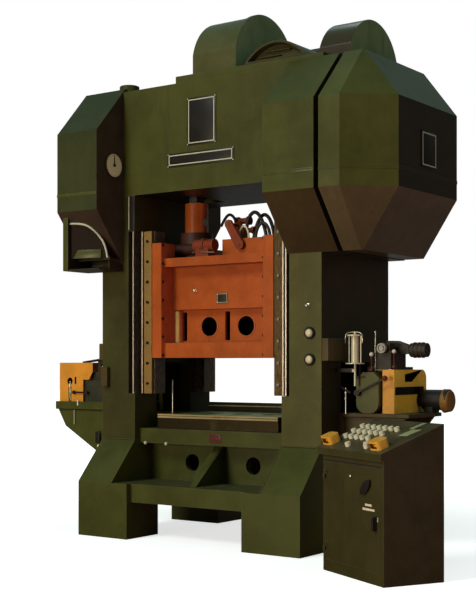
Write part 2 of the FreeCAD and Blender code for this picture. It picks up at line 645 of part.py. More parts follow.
def make_bolster():
    """The bolster plate with its T slots and scrap holes."""
    low, high = S["BedTop"], S["BedTop"] + S["BolsterThick"]
    plate = box(even(S["BolsterHalfLength"]), even(S["BolsterHalfDepth"]), (low, high))
    reach = S["BolsterHalfLength"] + 1
    cuts = []
    for row in (-2, -1, 1, 2):
        middle = row * S["SlotPitch"]
        cuts.append(box((-reach, reach), span(middle, S["SlotWidth"] / 2),
                        (high - S["SlotDepth"], high + 1)))
        cuts.append(box((-reach, reach), span(middle, S["SlotHeadWidth"] / 2),
                        (high - S["SlotDepth"], high - S["SlotDepth"] + S["SlotHeadHeight"])))
    for column in (-1, 0, 1):
        cuts.append(rod("Z", S["DropHoleRadius"], low - 1, high + 1,
                        (column * S["ScrapWellHalfLength"] / 2 * 1.4, 0)))
    node("bolster", cut(plate, *cuts))


def make_gibs():
    """The four gibs that guide the slide, their keeper strips and the strips' bolts."""
    z = (S["NotchBottom"], S["NotchTop"])
    face = S["SlideHalfDepth"]
    front = face - S["KeeperThick"]
    gibs, keepers, bolts = [], [], []
    for name, sign in SIDES:
        for end in ENDS:
            base = box(side_span(sign, S["SlideHalfLength"] + S["GuideClearance"],
                                 S["ThroatHalf"] + S["NotchDepth"]),
                       side_span(end, front - S["GibDepth"], front), z)
            ribs = [box(side_span(sign, at, at + S["GibRibThick"]), side_span(end, front, front + reach), z)
                    for at, reach in ((S["GibRibInner"], S["GibRibReach"]),
                                      (S["GibRibOuter"], S["GibRibOuterReach"]))]
            gibs.append(fuse(base, *ribs))
            keepers.append(box(side_span(sign, S["KeeperInner"], S["KeeperOuter"]),
                               side_span(end, front, face), z))
            pitch = (z[1] - z[0]) / S["GibBoltCount"]
            low, high = side_span(end, face, face + S["GibBoltHeight"])
            middle = sign * (S["KeeperInner"] + S["KeeperOuter"]) / 2
            for row in range(int(S["GibBoltCount"].value)):
                bolts.append(rod("Y", S["GibBoltRadius"], low, high, (middle, z[0] + pitch * (row + 0.5))))
    node("gibs", group(*gibs))
    node("gib_keepers", group(*keepers))
    node("gib_bolts", group(*bolts))


# ---------------------------------------------------------------- slide and drive

def slide_corner(sign, end):
    """One corner of the slide: its post, its rounded inner corner and the rails' gussets."""
    outer, inner = S["SlideHalfLength"], S["SlideHalfLength"] - S["SlidePostWidth"]
    post = box(side_span(sign, inner, outer), side_span(end, S["SlideHalfDepth"] - S["SlidePostDepth"],
               S["SlideHalfDepth"]), (S["SlideBottom"], S["SlidePostTop"]))
    radius, face = S["SlideCornerRadius"], S["SlideWebHalfDepth"]
    corner = [(sign * inner, end * face), (sign * inner, end * (face + radius)),
              (sign * (inner - radius), end * face)]
    turn = sign * end
    corner[1] = corner[1] + (radius * turn,)
    web_corner = slab("XY", corner, S["SlideRailTop"] - 1, S["SlidePanelBottom"] + 1)
    gussets = []
    for low, high in ((S["SlideBottom"], S["SlideRailTop"]),
                      (S["SlideTopRail"] - S["SlideTopRailHeight"], S["SlideTopRail"])):
        size, front = S["GussetSize"], S["SlideRailHalfDepth"]
        flare = [(sign * inner, end * front), (sign * inner, end * (front + size)),
                 (sign * (inner - size), end * front)]
        gussets.append(slab("XY", flare, low, high))
    return [post, web_corner] + gussets


LINK_FOOT = (190, 87)
LINK_HEAD = (86, 258)


def make_slide():
    """The welded slide: corner posts, rails, panels with round holes and slots."""
    outer, inner = S["SlideHalfLength"], S["SlideHalfLength"] - S["SlidePostWidth"]
    plate, web, panel = S["SlidePlate"], S["SlideWebHalfDepth"], S["SlidePanelHalfDepth"]
    top_low = S["SlideTopRail"] - S["SlideTopRailHeight"]
    parts = [box(even(outer), even(S["SlideRailHalfDepth"]), (S["SlideBottom"], S["SlideRailTop"])),
             box(even(outer), even(S["SlideRailHalfDepth"]), (top_low, S["SlideTopRail"]))]
    for sign in ENDS:
        parts.append(box(side_span(sign, inner, outer), even(S["SlideHalfDepth"] - 1),
                         (S["SlideBottom"], S["SlideTopRail"])))
        for end in ENDS:
            parts.extend(slide_corner(sign, end))
    for end in ENDS:
        parts.append(box(even(inner + 1), side_span(end, web - plate, web),
                         (S["SlideRailTop"] - 1, S["SlidePanelBottom"] + plate)))
        parts.append(box(even(inner + 1), side_span(end, panel - plate, panel),
                         (S["SlidePanelBottom"], top_low + 1)))
        parts.append(box(even(inner + 1), side_span(end, web - plate, panel),
                         (S["SlidePanelBottom"], S["SlidePanelBottom"] + plate)))
    parts.append(box((0, inner + 1), (-panel, -panel + plate),
                     (S["SlideTopRail"] - 1, S["SlidePostTop"] + 10)))
    reach = S["SlideHalfDepth"] + 1
    pin_x, pin_z = LINK_FOOT
    link_hole = rod("Y", 14 + S["GuideClearance"], -panel - 1, -panel + plate + 1,
                    (pin_x, S["SlideTopRail"] + pin_z))
    cuts = [link_hole]
    cuts += [rod("Y", S["SlideHoleRadius"], -reach, reach,
                 (sign * S["SlideHoleHalfPitch"], S["SlideHoleHeight"]))
            for sign in ENDS]
    for row in (-1, 0, 1):
        cuts.append(box(span(row * S["SlideSlotOffset"], S["SlideSlotWidth"] / 2), even(web + 1),
                        (S["SlideRailTop"] + 20, S["SlidePanelBottom"] - 20)))
    node("slide", cut(fuse(*parts), *cuts))


def make_slide_bolts():
    """The black bolts along the slide's corner posts."""
    inner = S["SlideHalfLength"] - S["SlidePostWidth"]
    bolts = []
    for sign in ENDS:
        low, high = side_span(sign, inner - S["GibBoltHeight"], inner)
        for end in ENDS:
            for row in range(int(S["SlideBoltCount"].value)):
                bolts.append(rod("X", S["GibBoltRadius"], low, high,
                                 (end * (S["SlideHalfDepth"] - S["GibBoltRadius"] - 1),
                                  S["SlideBottom"] + 22 + row * S["SlideBoltPitch"])))
    node("slide_bolts", group(*bolts))


def make_points():
    """Plungers, adjusting housings, pitmans and wrist pins of the two connection points."""
    plungers, housings, pitmans, pins = [], [], [], []
    low, z_pin = S["SlideTopRail"], S["WristHeight"]
    centre = S["CrankHeight"] + S["StrokeLength"] / 2
    for sign in ENDS:
        at = sign * S["PointHalfPitch"]
        plunger = cut(rod("Z", S["PlungerRadius"], low, S["PlungerTop"], (at, 0)),
                      rod("Z", S["PlungerBore"], S["AdjusterTop"] - 60, S["PlungerTop"] + 1, (at, 0)),
                      rod("X", S["WristRadius"] + S["RunClearance"], at - S["PlungerRadius"] - 1,
                          at + S["PlungerRadius"] + 1, (0, z_pin)))
        plungers.append(plunger)
        flange = rod("Z", S["AdjusterRadius"] + 22, low, low + 28, (at, 0))
        barrel = rod("Z", S["AdjusterRadius"], low, S["AdjusterTop"], (at, 0))
        worm = rod("X", S["PulleyRadius"] / 2.5, at - 190, at + 190, (-S["AdjusterRadius"] - 6, low + 92))
        housings.append(cut(fuse(flange, barrel, worm),
                            rod("Z", S["PlungerRadius"] + S["RunClearance"], low - 1, S["AdjusterTop"] + 1,
                                (at, 0))))
        pins.append(rod("X", S["WristRadius"], at - S["PlungerRadius"] + 4, at + S["PlungerRadius"] - 4,
                        (0, z_pin)))
        pitmans.append(pitman(at, centre, z_pin))
    node("plungers", group(*plungers))
    node("adjusting_housings", group(*housings))
    node("pitmans", group(*pitmans))
    node("wrist_pins", group(*pins))


def pitman(at, centre, z_pin):
    """A connecting rod whose big end leaves room for the eccentric's sideways throw."""
    half, throw = S["PitmanWidth"] / 2, S["StrokeLength"] / 2
    window = S["EccentricRadius"] + S["StrapPlay"]
    eye = window + S["StrapWall"]
    low, high = at - half, at + half
    ends = [rod("X", eye, low, high, (shift, centre)) for shift in (-throw, throw)]
    bridge = box((low, high), even(throw), (centre - eye, centre + eye))
    small = rod("X", S["PlungerBore"] - 12, at - S["PlungerBore"] * 0.5, at + S["PlungerBore"] * 0.5,
                (0, z_pin))
    shank = box(span(at, S["PlungerBore"] * 0.5), even(S["PitmanShank"] - 3), (z_pin, centre - window))
    holes = [rod("X", window, low - 1, high + 1, (shift, centre)) for shift in (-throw, throw)]
    holes.append(box((low - 1, high + 1), even(throw), (centre - window, centre + window)))
    holes.append(rod("X", S["WristRadius"] + S["RunClearance"], low - 1, high + 1, (0, z_pin)))
    return cut(fuse(bridge, small, shank, *ends), *holes)


def make_crankshaft():
    """The two-throw crankshaft, from the brake on the left to the clutch on the right."""
    z, radius = S["CrankHeight"], S["JournalRadius"]
    left = -S["LeftCoverOuter"] + 60
    shaft = rod("X", radius, left + 90, S["InnerCoverRight"] - S["SheaveWidth"] - 30, (0, z))
    tail = rod("X", S["WheelJournal"], S["InnerCoverRight"] - S["SheaveWidth"] - 31,
               S["OuterCoverRight"] - 60, (0, z))
    stub = rod("X", S["WheelJournal"] - 30, left, left + 91, (0, z))
    throws = [rod("X", S["EccentricRadius"], *span(sign * S["PointHalfPitch"], S["EccentricWidth"] / 2),
                  (0, z + S["StrokeLength"] / 2)) for sign in ENDS]
    node("crankshaft", fuse(shaft, tail, stub, *throws))
    half = S["BearingLength"] / 2
    rings = []
    for sign in ENDS:
        for bay in (S["BayInner"], S["BayOuter"]):
            low, high = span(sign * bay, half)
            ring = rod("X", radius + S["RunClearance"] + S["BearingWall"], low, high, (0, z))
            rings.append(cut(ring, rod("X", radius + S["RunClearance"], low - 1, high + 1, (0, z))))
    node("main_bearings", group(*rings))
    inner = S["LeftCoverOuter"] - 150
    brake = [(-inner - S["BrakeThick"] - 30, radius), (-inner + 50, radius), (-inner + 50, radius + 60),
             (-inner, radius + 60), (-inner, S["BrakeRadius"]), (-inner - S["BrakeThick"], S["BrakeRadius"]),
             (-inner - S["BrakeThick"], radius + 60), (-inner - S["BrakeThick"] - 30, radius + 60)]
    return turned(brake, z=z)


def make_wheels(brake):
    """The belt wheel, the flywheel and the clutch on the right end of the crankshaft."""
    z, bore = S["CrankHeight"], S["WheelJournal"] + S["RunClearance"]
    right = S["InnerCoverRight"] - 12
    left = right - S["SheaveWidth"]
    rim, hub, web = S["SheaveRadius"], S["HubRadius"], S["FlywheelWeb"] / 2
    middle = (left + right) / 2
    sleeve_end = S["OuterCoverLeft"] + 44
    wheel = [(left, bore), (sleeve_end, bore), (sleeve_end, hub - 30), (right, hub - 30), (right, hub),
             (middle + web, hub), (middle + web, rim - 60), (right, rim - 60), (right, rim), (left, rim),
             (left, rim - 60), (middle - web, rim - 60), (middle - web, hub), (left, hub)]
    grooves = []
    for row in range(int(S["BeltCount"].value)):
        at = belt_middle(row)
        low, high = span(at, S["BeltWidth"] / 2 + 0.5)
        ring = [(low, rim - S["GrooveDepth"]), (high, rim - S["GrooveDepth"]), (high, rim + 1),
                (low, rim + 1)]
        grooves.append(turned(ring, z=z))
    node("belt_wheel", cut(turned(wheel, z=z), *grooves))
    low, high = sleeve_end, sleeve_end + S["FlywheelWidth"]
    middle = (low + high) / 2
    inner = S["FlywheelRadius"] - S["FlywheelRim"]
    fly = [(low, bore), (high, bore), (high, hub), (middle + web, hub), (middle + web, inner), (high, inner),
           (high, S["FlywheelRadius"]), (low, S["FlywheelRadius"]), (low, inner), (middle - web, inner),
           (middle - web, hub), (low, hub)]
    node("flywheel", turned(fly, z=z))
    start = high + 4
    clutch = [(start, S["WheelJournal"]), (start + 70, S["WheelJournal"]), (start + 70, hub),
              (start + 52, hub), (start + 52, S["ClutchRadius"]), (start, S["ClutchRadius"])]
    node("clutch_and_brake", group(turned(clutch, z=z), brake))


def belt_middle(row):
    """The place of a belt along X."""
    middle = S["InnerCoverRight"] - 12 - S["SheaveWidth"] / 2
    return middle + (row - (S["BeltCount"] - 1) / 2) * S["BeltPitch"]


def belt_loop(low, high):
    """One belt round the belt wheel and the motor pulley."""
    seat = S["SeatGap"] - S["GrooveDepth"]
    big, small = S["SheaveRadius"] + seat, S["PulleyRadius"] + seat
    back, rise = S["MotorBack"], S["MotorHeight"] - S["CrankHeight"]
    outlines = []
    for thick in (S["BeltThick"], dim(0)):
        outlines.append(tangent_loop(big + thick, small + thick, back, rise))
    return slab("YZ", outlines[0], low, high, holes=(outlines[1],))


def tangent_loop(big, small, back, rise):
    """The outline of two circles joined by their outer tangents, as (y, z) points."""
    reach = root(back * back + rise * rise)
    lean = (big - small) / reach
    flat = root(1 - lean * lean)
    along_y, along_z = back / reach, rise / reach
    places = []
    for sign in ENDS:
        out_y = along_y * lean + sign * along_z * flat
        out_z = along_z * lean - sign * along_y * flat
        places.append((out_y, out_z))
    low_z, high_z = S["CrankHeight"], S["CrankHeight"] + rise
    right, left = places[1], places[0]
    return [(big * right[0], low_z + big * right[1]),
            (back + small * right[0], high_z + small * right[1], small),
            (back + small * along_y, high_z + small * along_z, small),
            (back + small * left[0], high_z + small * left[1]),
            (big * left[0], low_z + big * left[1], big),
            (-big * along_y, low_z - big * along_z, big)]


def make_motor():
    """The drive motor, its shaft and pulley, and the belts."""
    z, y = S["MotorHeight"], S["MotorBack"]
    frame = rod("X", S["MotorRadius"], S["MotorLeft"], S["MotorRight"], (y, z))
    bell = rod("X", S["MotorRadius"] * 0.55, S["MotorRight"] - 1, S["MotorRight"] + 26, (y, z))
    deck = S["CrownTop"] + S["DeckHeight"]
    foot = box((S["MotorLeft"] + 50, S["MotorRight"] - 50), span(y, S["MotorRadius"] * 0.8), (deck, z))
    bore = rod("X", S["MotorShaftRadius"] + S["RunClearance"], S["MotorLeft"] + 40, S["MotorRight"] + 30,
               (y, z))
    pedestal = box((S["BeltHoodLeft"] + 30, S["BeltHoodLeft"] + 90), span(y, 70), (deck, z + 60))
    pedestal_bore = rod("X", S["MotorShaftRadius"] + S["RunClearance"], S["BeltHoodLeft"] + 29,
                        S["BeltHoodLeft"] + 91, (y, z))
    node("drive_motor", group(cut(fuse(frame, bell, foot), bore), cut(pedestal, pedestal_bore)))
    shaft = rod("X", S["MotorShaftRadius"], S["MotorLeft"] + 60, S["InnerCoverRight"] - 16, (y, z))
    right = S["InnerCoverRight"] - 14
    pulley = rod("X", S["PulleyRadius"], right - S["SheaveWidth"], right, (y, z))
    grooves = []
    for row in range(int(S["BeltCount"].value)):
        low, high = span(belt_middle(row), S["BeltWidth"] / 2 + 0.5)
        grooves.append(cut(rod("X", S["PulleyRadius"] + 1, low, high, (y, z)),
                           rod("X", S["PulleyRadius"] - S["GrooveDepth"], low - 1, high + 1, (y, z))))
    node("motor_pulley", fuse(shaft, cut(pulley, *grooves)))
    belts = [belt_loop(*span(belt_middle(row), S["BeltWidth"] / 2))
             for row in range(int(S["BeltCount"].value))]
    node("drive_belts", group(*belts))


# ---------------------------------------------------------------- covers

def cover_outline(front, rear, rear_end, inset):
    """The side view of a wheel cover, as (y, z) points, moved inwards by inset."""
    return [(-front + inset, S["CoverFoldHigh"]), (-front + inset, S["CoverFoldLow"]),
            (-S["CoverBottomFront"] + inset, S["CoverBottom"] + inset),
            (rear_end - inset, S["CoverBottom"] + inset), (rear - inset, S["CoverFoldLow"]),
            (rear - inset, S["CoverFoldHigh"]), (rear_end - inset, S["CoverTop"] - inset),
            (-S["CoverTopFront"] + inset, S["CoverTop"] - inset)]


def frame_block(x):
    """The space of the crown and of an upright, which the covers wrap."""
    return box(x, even(S["FrameHalfDepth"]), (S["CoverBottom"] - 200, S["CrownTop"]))


def make_left_cover():
    """The folded cover over the brake on the left end of the crown."""
    wall = S["CoverWall"]
    front, rear = S["CoverFront"] - 12, S["CoverFront"] - 12
    x = (-S["LeftCoverOuter"], -S["LeftCoverInner"])
    outer = slab("YZ", cover_outline(front, rear, S["CoverBottomFront"], dim(0)), *x)
    inner = slab("YZ", cover_outline(front, rear, S["CoverBottomFront"], wall), x[0] + wall, x[1] - wall)
    tools = [frame_block((-S["FrameHalfLength"], x[1] + 1)), inner]
    top = S["CrownTop"]
    for end in ENDS:
        tools.append(rod("Z", S["TieNutRadius"] + 4, top - 1, top + S["TieNutHeight"] + 2,
                         (-S["TieRodX"], end * S["TieRodY"])))
    node("left_cover", cut(outer, *tools))


def make_inner_cover():
    """The folded cover over the belt wheel."""
    wall = S["CoverWall"]
    x = (S["InnerCoverLeft"], S["InnerCoverRight"])
    rear, end = S["CoverRear"], S["CoverEndRear"] + 60
    outer = slab("YZ", cover_outline(S["CoverFront"], rear, end, dim(0)), *x)
    inner = slab("YZ", cover_outline(S["CoverFront"], rear, end, wall), x[0] + wall, x[1] - wall)
    deck = box((x[0] - 1, S["FrameHalfLength"]), even(S["DeckHalfDepth"]),
               (S["CrownTop"] - 1, S["CrownTop"] + S["DeckHeight"] + 1))
    slot = box((S["FrameHalfLength"] + 8, x[1] - wall), even(S["BeltHoodFront"] - 20),
               (S["CoverTop"] - 80, S["CoverTop"] + 1))
    shaft = rod("X", S["HubRadius"] - 18, x[1] - wall - 1, x[1] + 1, (0, S["CrankHeight"]))
    tools = [frame_block((x[0] - 1, S["FrameHalfLength"])), deck, inner, slot, shaft]
    for sign in ENDS:
        tools.append(rod("Z", S["TieNutRadius"] + 4, S["CrownTop"], S["CoverTop"] + 90,
                         (S["TieRodX"], sign * S["TieRodY"])))
    node("right_inner_cover", cut(outer, *tools))


def octagon(z, inset, flared):
    """A plan section of the outer wheel cover, as (x, y) points."""
    left = S["OuterCoverLeft"] + inset
    if flared:
        front, rear = -S["CoverFront"] + inset, S["CoverRear"] - inset
        side = S["OuterCoverRight"] - inset
        corner = S["OuterCoverCorner"] - inset * 0.4
        return [(left, front), (corner, front), (side, -S["OuterCoverSideFront"] + inset * 0.4),
                (side, S["OuterCoverSideRear"] - inset * 0.4), (corner, rear), (left, rear)]
    edge = S["CoverBottomFront"] if z is S["CoverBottom"] else S["CoverTopFront"]
    trim, side = S["CornerTrim"], S["OuterCoverEnd"] - inset
    run = S["OuterCoverRight"] - S["OuterCoverCorner"]
    slant = trim * (S["CoverFront"] - S["OuterCoverSideFront"]) / run
    rear = S["CoverEndRear"] - inset
    return [(left, -edge + inset), (side - trim, -edge + inset), (side, -edge + inset + slant),
            (side, rear - slant), (side - trim, rear), (left, rear)]


def octagon_loft(inset):
    """The outer wheel cover's solid form, moved inwards by inset."""
    body = document.addObject("PartDesign::Body", fresh("loft_body"))
    levels = ((S["CoverBottom"], inset, False), (S["CoverFoldLow"], dim(0), True),
              (S["CoverFoldHigh"], dim(0), True), (S["CoverTop"], -inset, False))
    sketches = []
    for z, shift, flared in levels:
        sketch = sketch_on(body, "XY", z + shift)
        draw(sketch, octagon(z, inset, flared))
        sketches.append(sketch)
    loft = body.newObject("PartDesign::AdditiveLoft", fresh("loft"))
    loft.Profile = sketches[0]
    loft.Sections = sketches[1:]
    loft.Ruled = True
    return body


def make_outer_cover():
    """The eight-sided cover over the flywheel and the clutch."""
    wall = S["CoverWall"]
    left = S["OuterCoverLeft"]
    shaft = rod("X", S["HubRadius"] - 18, left - 1, left + wall + 1, (0, S["CrankHeight"]))
    shell = cut(octagon_loft(dim(0)), octagon_loft(wall), shaft)
    spacers = []
    for z in (S["CoverFoldLow"] + 60, S["CoverFoldHigh"] - 60):
        for sign in ENDS:
            spacers.append(rod("X", 22, S["InnerCoverRight"], left + 1, (sign * S["CoverEndRear"], z)))
    node("right_outer_cover", fuse(shell, *spacers))


def make_brake_guard():
    """The open guard under the left cover: its post, back, floor, short side and shelf."""
    wall, post = S["CoverWall"], S["GuardFrame"]
    left, right = -S["GuardLeft"], -S["GuardRight"]
    front, rear = -S["GuardFront"], -S["FrameHalfDepth"]
    low = S["GuardBottom"]
    # the top follows the slope of the cover above it
    fold = (S["CoverFoldLow"] - S["CoverBottom"]) / (S["CoverFront"] - S["CoverBottomFront"])

    def under_cover(y):
        """The height at a place under the cover's slope, kept a little clear of it."""
        return S["CoverBottom"] + (rear - y) * fold - 4

    side = [(front, low), (rear, low), (rear, under_cover(rear)), (front, under_cover(front))]
    column = slab("YZ", side, left, left + post)
    floor = box((left, right), (front, rear), (low, low + wall * 2))
    back = box((left, right), (rear - wall, rear), (low, under_cover(rear)))
    turn = front + 132
    short = [(turn, low), (rear, low), (rear, under_cover(rear)), (turn, low + 120)]
    right_side = slab("YZ", short, right - wall, right)
    shelf = box((left + post - 1, right - wall + 1), (turn, rear - 40), (low + 88, low + 104))
    node("brake_guard", fuse(column, floor, back, right_side, shelf))


def hood_outline(front, rear, shoulder, top, base, inset):
    """The side view of an arched hood, as (y, z) points."""
    low_y, high_y = -front + inset, rear - inset
    half, rise = (high_y - low_y) / 2, top - inset - shoulder
    radius = (half * half + rise * rise) / (rise * 2)
    middle = (low_y + high_y) / 2
    return [(low_y, base), (high_y, base), (high_y, shoulder, radius), (middle, top - inset, radius),
            (low_y, shoulder)]


def make_hoods():
    """The sheet hoods over the drive motor and over the belts."""
    wall = S["CoverWall"]
    deck = S["CrownTop"] + S["DeckHeight"]
    x = (S["HoodLeft"], S["HoodRight"])
    arch = (S["HoodFront"] - 44, S["HoodRear"], S["HoodShoulder"], S["HoodTop"])
    outer = slab("YZ", hood_outline(*arch, deck, dim(0)), *x)
    inner = slab("YZ", hood_outline(*arch, deck - 1, wall), x[0] + wall, x[1] - wall)
    hole = rod("X", S["MotorShaftRadius"] + 14, x[1] - wall - 1, x[1] + wall + 1,
               (S["MotorBack"], S["MotorHeight"]))
    bell = rod("X", S["MotorRadius"] * 0.55 + 4, x[1] - wall - 14, x[1] - wall,
               (S["MotorBack"], S["MotorHeight"]))
    flange = slab("YZ", hood_outline(arch[0] + 3, arch[1] + 22, S["HoodShoulder"], S["HoodTop"] + 16, deck,
                                     dim(0)),
                  x[1] - 26, x[1] + wall)
    rim_inner = slab("YZ", hood_outline(*arch, deck - 1, wall), x[1] - 27, x[1] - wall)
    node("motor_hood", cut(fuse(outer, flange), inner, rim_inner, hole, bell))
    x = (S["BeltHoodLeft"], S["BeltHoodRight"])
    arch = (S["BeltHoodFront"], S["BeltHoodRear"], S["BeltHoodShoulder"], S["BeltHoodTop"])
    outer = slab("YZ", hood_outline(*arch, S["CoverTop"], dim(0)), *x)
    inner = slab("YZ", hood_outline(*arch, S["CoverTop"] - 1, wall), x[0] + wall, x[1] - wall)
    hole = rod("X", S["MotorShaftRadius"] + 14, x[0] - 1, x[0] + wall + 1,
               (S["MotorBack"], S["MotorHeight"]))
    deck_cut = box((x[0] - 1, S["FrameHalfLength"]), even(S["DeckHalfDepth"]), (S["CoverTop"] - 1, deck))
    node("belt_hood", cut(outer, inner, hole, deck_cut))


def make_cowl():
    """The low arched cowl on the crown, with two light bars in its front."""
    deck = S["CrownTop"] + S["DeckHeight"]
    low, high = S["CowlLeft"], S["CowlRight"]
    half, rise = (high - low) / 2, S["CowlRise"]
    radius = (half * half + rise * rise) / (rise * 2)
    middle = (low + high) / 2
    wall = S["CoverWall"] * 3
    outer = [(low, deck), (high, deck, radius), (middle, deck + rise, radius)]
    inner = [(low + wall * 2, deck + wall), (high - wall * 2, deck + wall, radius),
             (middle, deck + rise - wall, radius)]
    shell = slab("XZ", outer, -S["CowlFront"], -S["CowlRear"])
    recess = slab("XZ", inner, -S["CowlFront"] - 1, -S["CowlFront"] + 70)
    bars = [box((low + half * start, low + half * end), (-S["CowlFront"] + 40, -S["CowlFront"] + 72),
                (deck + z, deck + z + 9))
            for start, end, z in ((0.6, 1.42, 78), (0.42, 1.1, 42))]
    node("arched_cowl", fuse(cut(shell, recess), *bars))


def make_dial():
    """The crank angle dial on the left cover, and its pointer."""
    x, y, z = -S["LeftCoverInner"], -S["DialForward"], S["DialHeight"]
    node("crank_dial", cut(rod("X", S["DialRadius"], x, x + 14, (y, z)),
                           rod("X", 5 + S["RunClearance"], x + 4, x + 15, (y, z))))
    hub = rod("X", 13, x + 14 + S["SeatGap"], x + 22, (y, z))
    spindle = rod("X", 5, x + 6, x + 20, (y, z))
    hand = slab("YZ", [(y - 6, z), (y + 6, z), (y + 2, z + S["DialRadius"] - 12),
                       (y - 2, z + S["DialRadius"] - 12)],
                x + 15, x + 19)
    node("dial_pointer", fuse(hub, spindle, hand))


# ---------------------------------------------------------------- feed and side gear

def make_feed_table():
    """The bracket that carries the roll feed on the right upright."""
    left, right, top = S["FrameHalfLength"], S["FeedTableRight"], S["FeedTableTop"]
    half, plate = S["FeedHalfDepth"], S["FeedPlate"]
    slab_top = box((left, right), even(half), (top - plate, top))
    side = [(left, top - plate), (right - 40, top - plate), (right - 120, top - 130), (left, top - 330)]
    ribs = [slab("XZ", side, *side_span(end, half - 60, half - 60 + plate)) for end in ENDS]
    back = box((left, left + plate), even(half), (top - 330, top))
    node("feed_table", fuse(slab_top, back, *ribs))


def make_feed():
    """The roll feed: gear case, housing, rolls, guard, motor and hand controls."""
    top, half = S["FeedTableTop"], S["FeedHalfDepth"]
    case_front = -half
    low, high = S["GearBoxLeft"], S["GearBoxRight"]
    round_low, round_top = (high - low) * 0.41, (high - low) * 0.22
    case = [(low, top + round_low, round_low), (low + round_low, top), (high - round_low, top, round_low),
            (high, top + round_low), (high, S["GearBoxTop"] - round_top),
            (high - round_top, S["GearBoxTop"]),
            (low + round_top * 1.4, S["GearBoxTop"]), (low, S["GearBoxTop"] - round_top * 1.4)]
    front = case_front + S["GearBoxThick"]
    holes = [rod("Y", S["RollRadius"] * 0.5 + S["RunClearance"], front - 40, front + 1, (S["RollX"] - 60, z))
             for z in roll_heights()]
    node("feed_gear_case", cut(slab("XZ", case, case_front, front), *holes))
    make_rolls(front)
    make_feed_head(front)
    make_feed_guard(front)
    y, z = S["FeedMotorY"], FEED_MOTOR_RISE + top
    start = S["FeedGuardRight"]
    motor = [(start + 2, 0), (S["FeedMotorRight"], 0), (S["FeedMotorRight"], S["FeedMotorRadius"] * 0.72),
             (S["FeedMotorRight"] - 16, S["FeedMotorRadius"]),
             (S["FeedMotorRight"] - 60, S["FeedMotorRadius"]),
             (S["FeedMotorRight"] - 64, S["FeedMotorRadius"] * 0.94),
             (start + 40, S["FeedMotorRadius"] * 0.94),
             (start + 40, S["FeedMotorRadius"] * 0.6), (start + 2, S["FeedMotorRadius"] * 0.6)]
    foot = box((start + 60, S["FeedTableRight"] - 10), span(y, 60), (top, z))
    node("feed_motor", fuse(turned(motor, y=y, z=z), foot))


FEED_MOTOR_RISE = 98


def roll_heights():
    """The heights of the lower and upper roll, which touch the strip between them."""
    return (S["FeedLine"] - S["RollRadius"] - S["SeatGap"], S["FeedLine"] + S["RollRadius"] + S["SeatGap"])


def make_rolls(front):
    """The lower and upper feed rolls."""
    at, radius = S["RollX"] - 60, S["RollRadius"]
    for name, z in zip(("lower", "upper"), roll_heights()):
        neck = radius * 0.5
        end = front - 30
        start = front + 10
        stop = S["FeedHalfDepth"] - 70
        profile = [(end, 0), (stop + 40, 0), (stop + 40, neck), (stop, neck), (stop, radius),
                   (start, radius), (start, neck), (end, neck)]
        node(name + "_feed_roll", turned(profile, x=at, z=z, axis="Y"))


def make_feed_head(front):
    """The black housing that holds the rolls' far ends and carries the hand controls."""
    top = S["FeedTableTop"]
    at, neck = S["RollX"] - 60, S["RollRadius"] * 0.5 + S["RunClearance"]
    rear = S["FeedHalfDepth"]
    high = S["FeedGuardTop"]
    width = (at - 90, at + 60)
    cheek = box(width, (rear - 60, rear), (top, high + 20))
    post = box(width, (front, front + 8), (top, high + 20))
    bridge = box((at - 30, at + 60), (front, rear - 59), (high + 2, high + 20))
    block = box((at - 30, at + 110), (front, 60), (high + 2, high + 146))
    boss = box((at + 10, at + 100), (front, front + 90), (high + 145, high + 203))
    arm = slab("XZ", [(at + 5, high + 144), (at + 110, high + 118), (at + 195, high + 122),
                      (at + 195, high + 176), (at + 60, high + 222), (at + 5, high + 222)], -60, 60)
    canister = rod("X", 54, at + 190, at + 325, (0, high + 149))
    rings = [rod("X", 60, at + x, at + x + 14, (0, high + 149)) for x in (214, 248, 282)]
    bores = [rod("Y", neck, rear - 61, rear + 1, (at, z)) for z in roll_heights()]
    passes = [rod("Y", neck + 10, front - 1, front + 9, (at, z)) for z in roll_heights()]
    seat = rod("Y", 12 + S["RunClearance"], front - 1, front + 40, (at + 52, high + 163))
    node("feed_head", cut(fuse(cheek, post, bridge, block, boss, arm, canister, *rings), *bores, *passes,
                          seat))
    make_feed_controls(front, at)


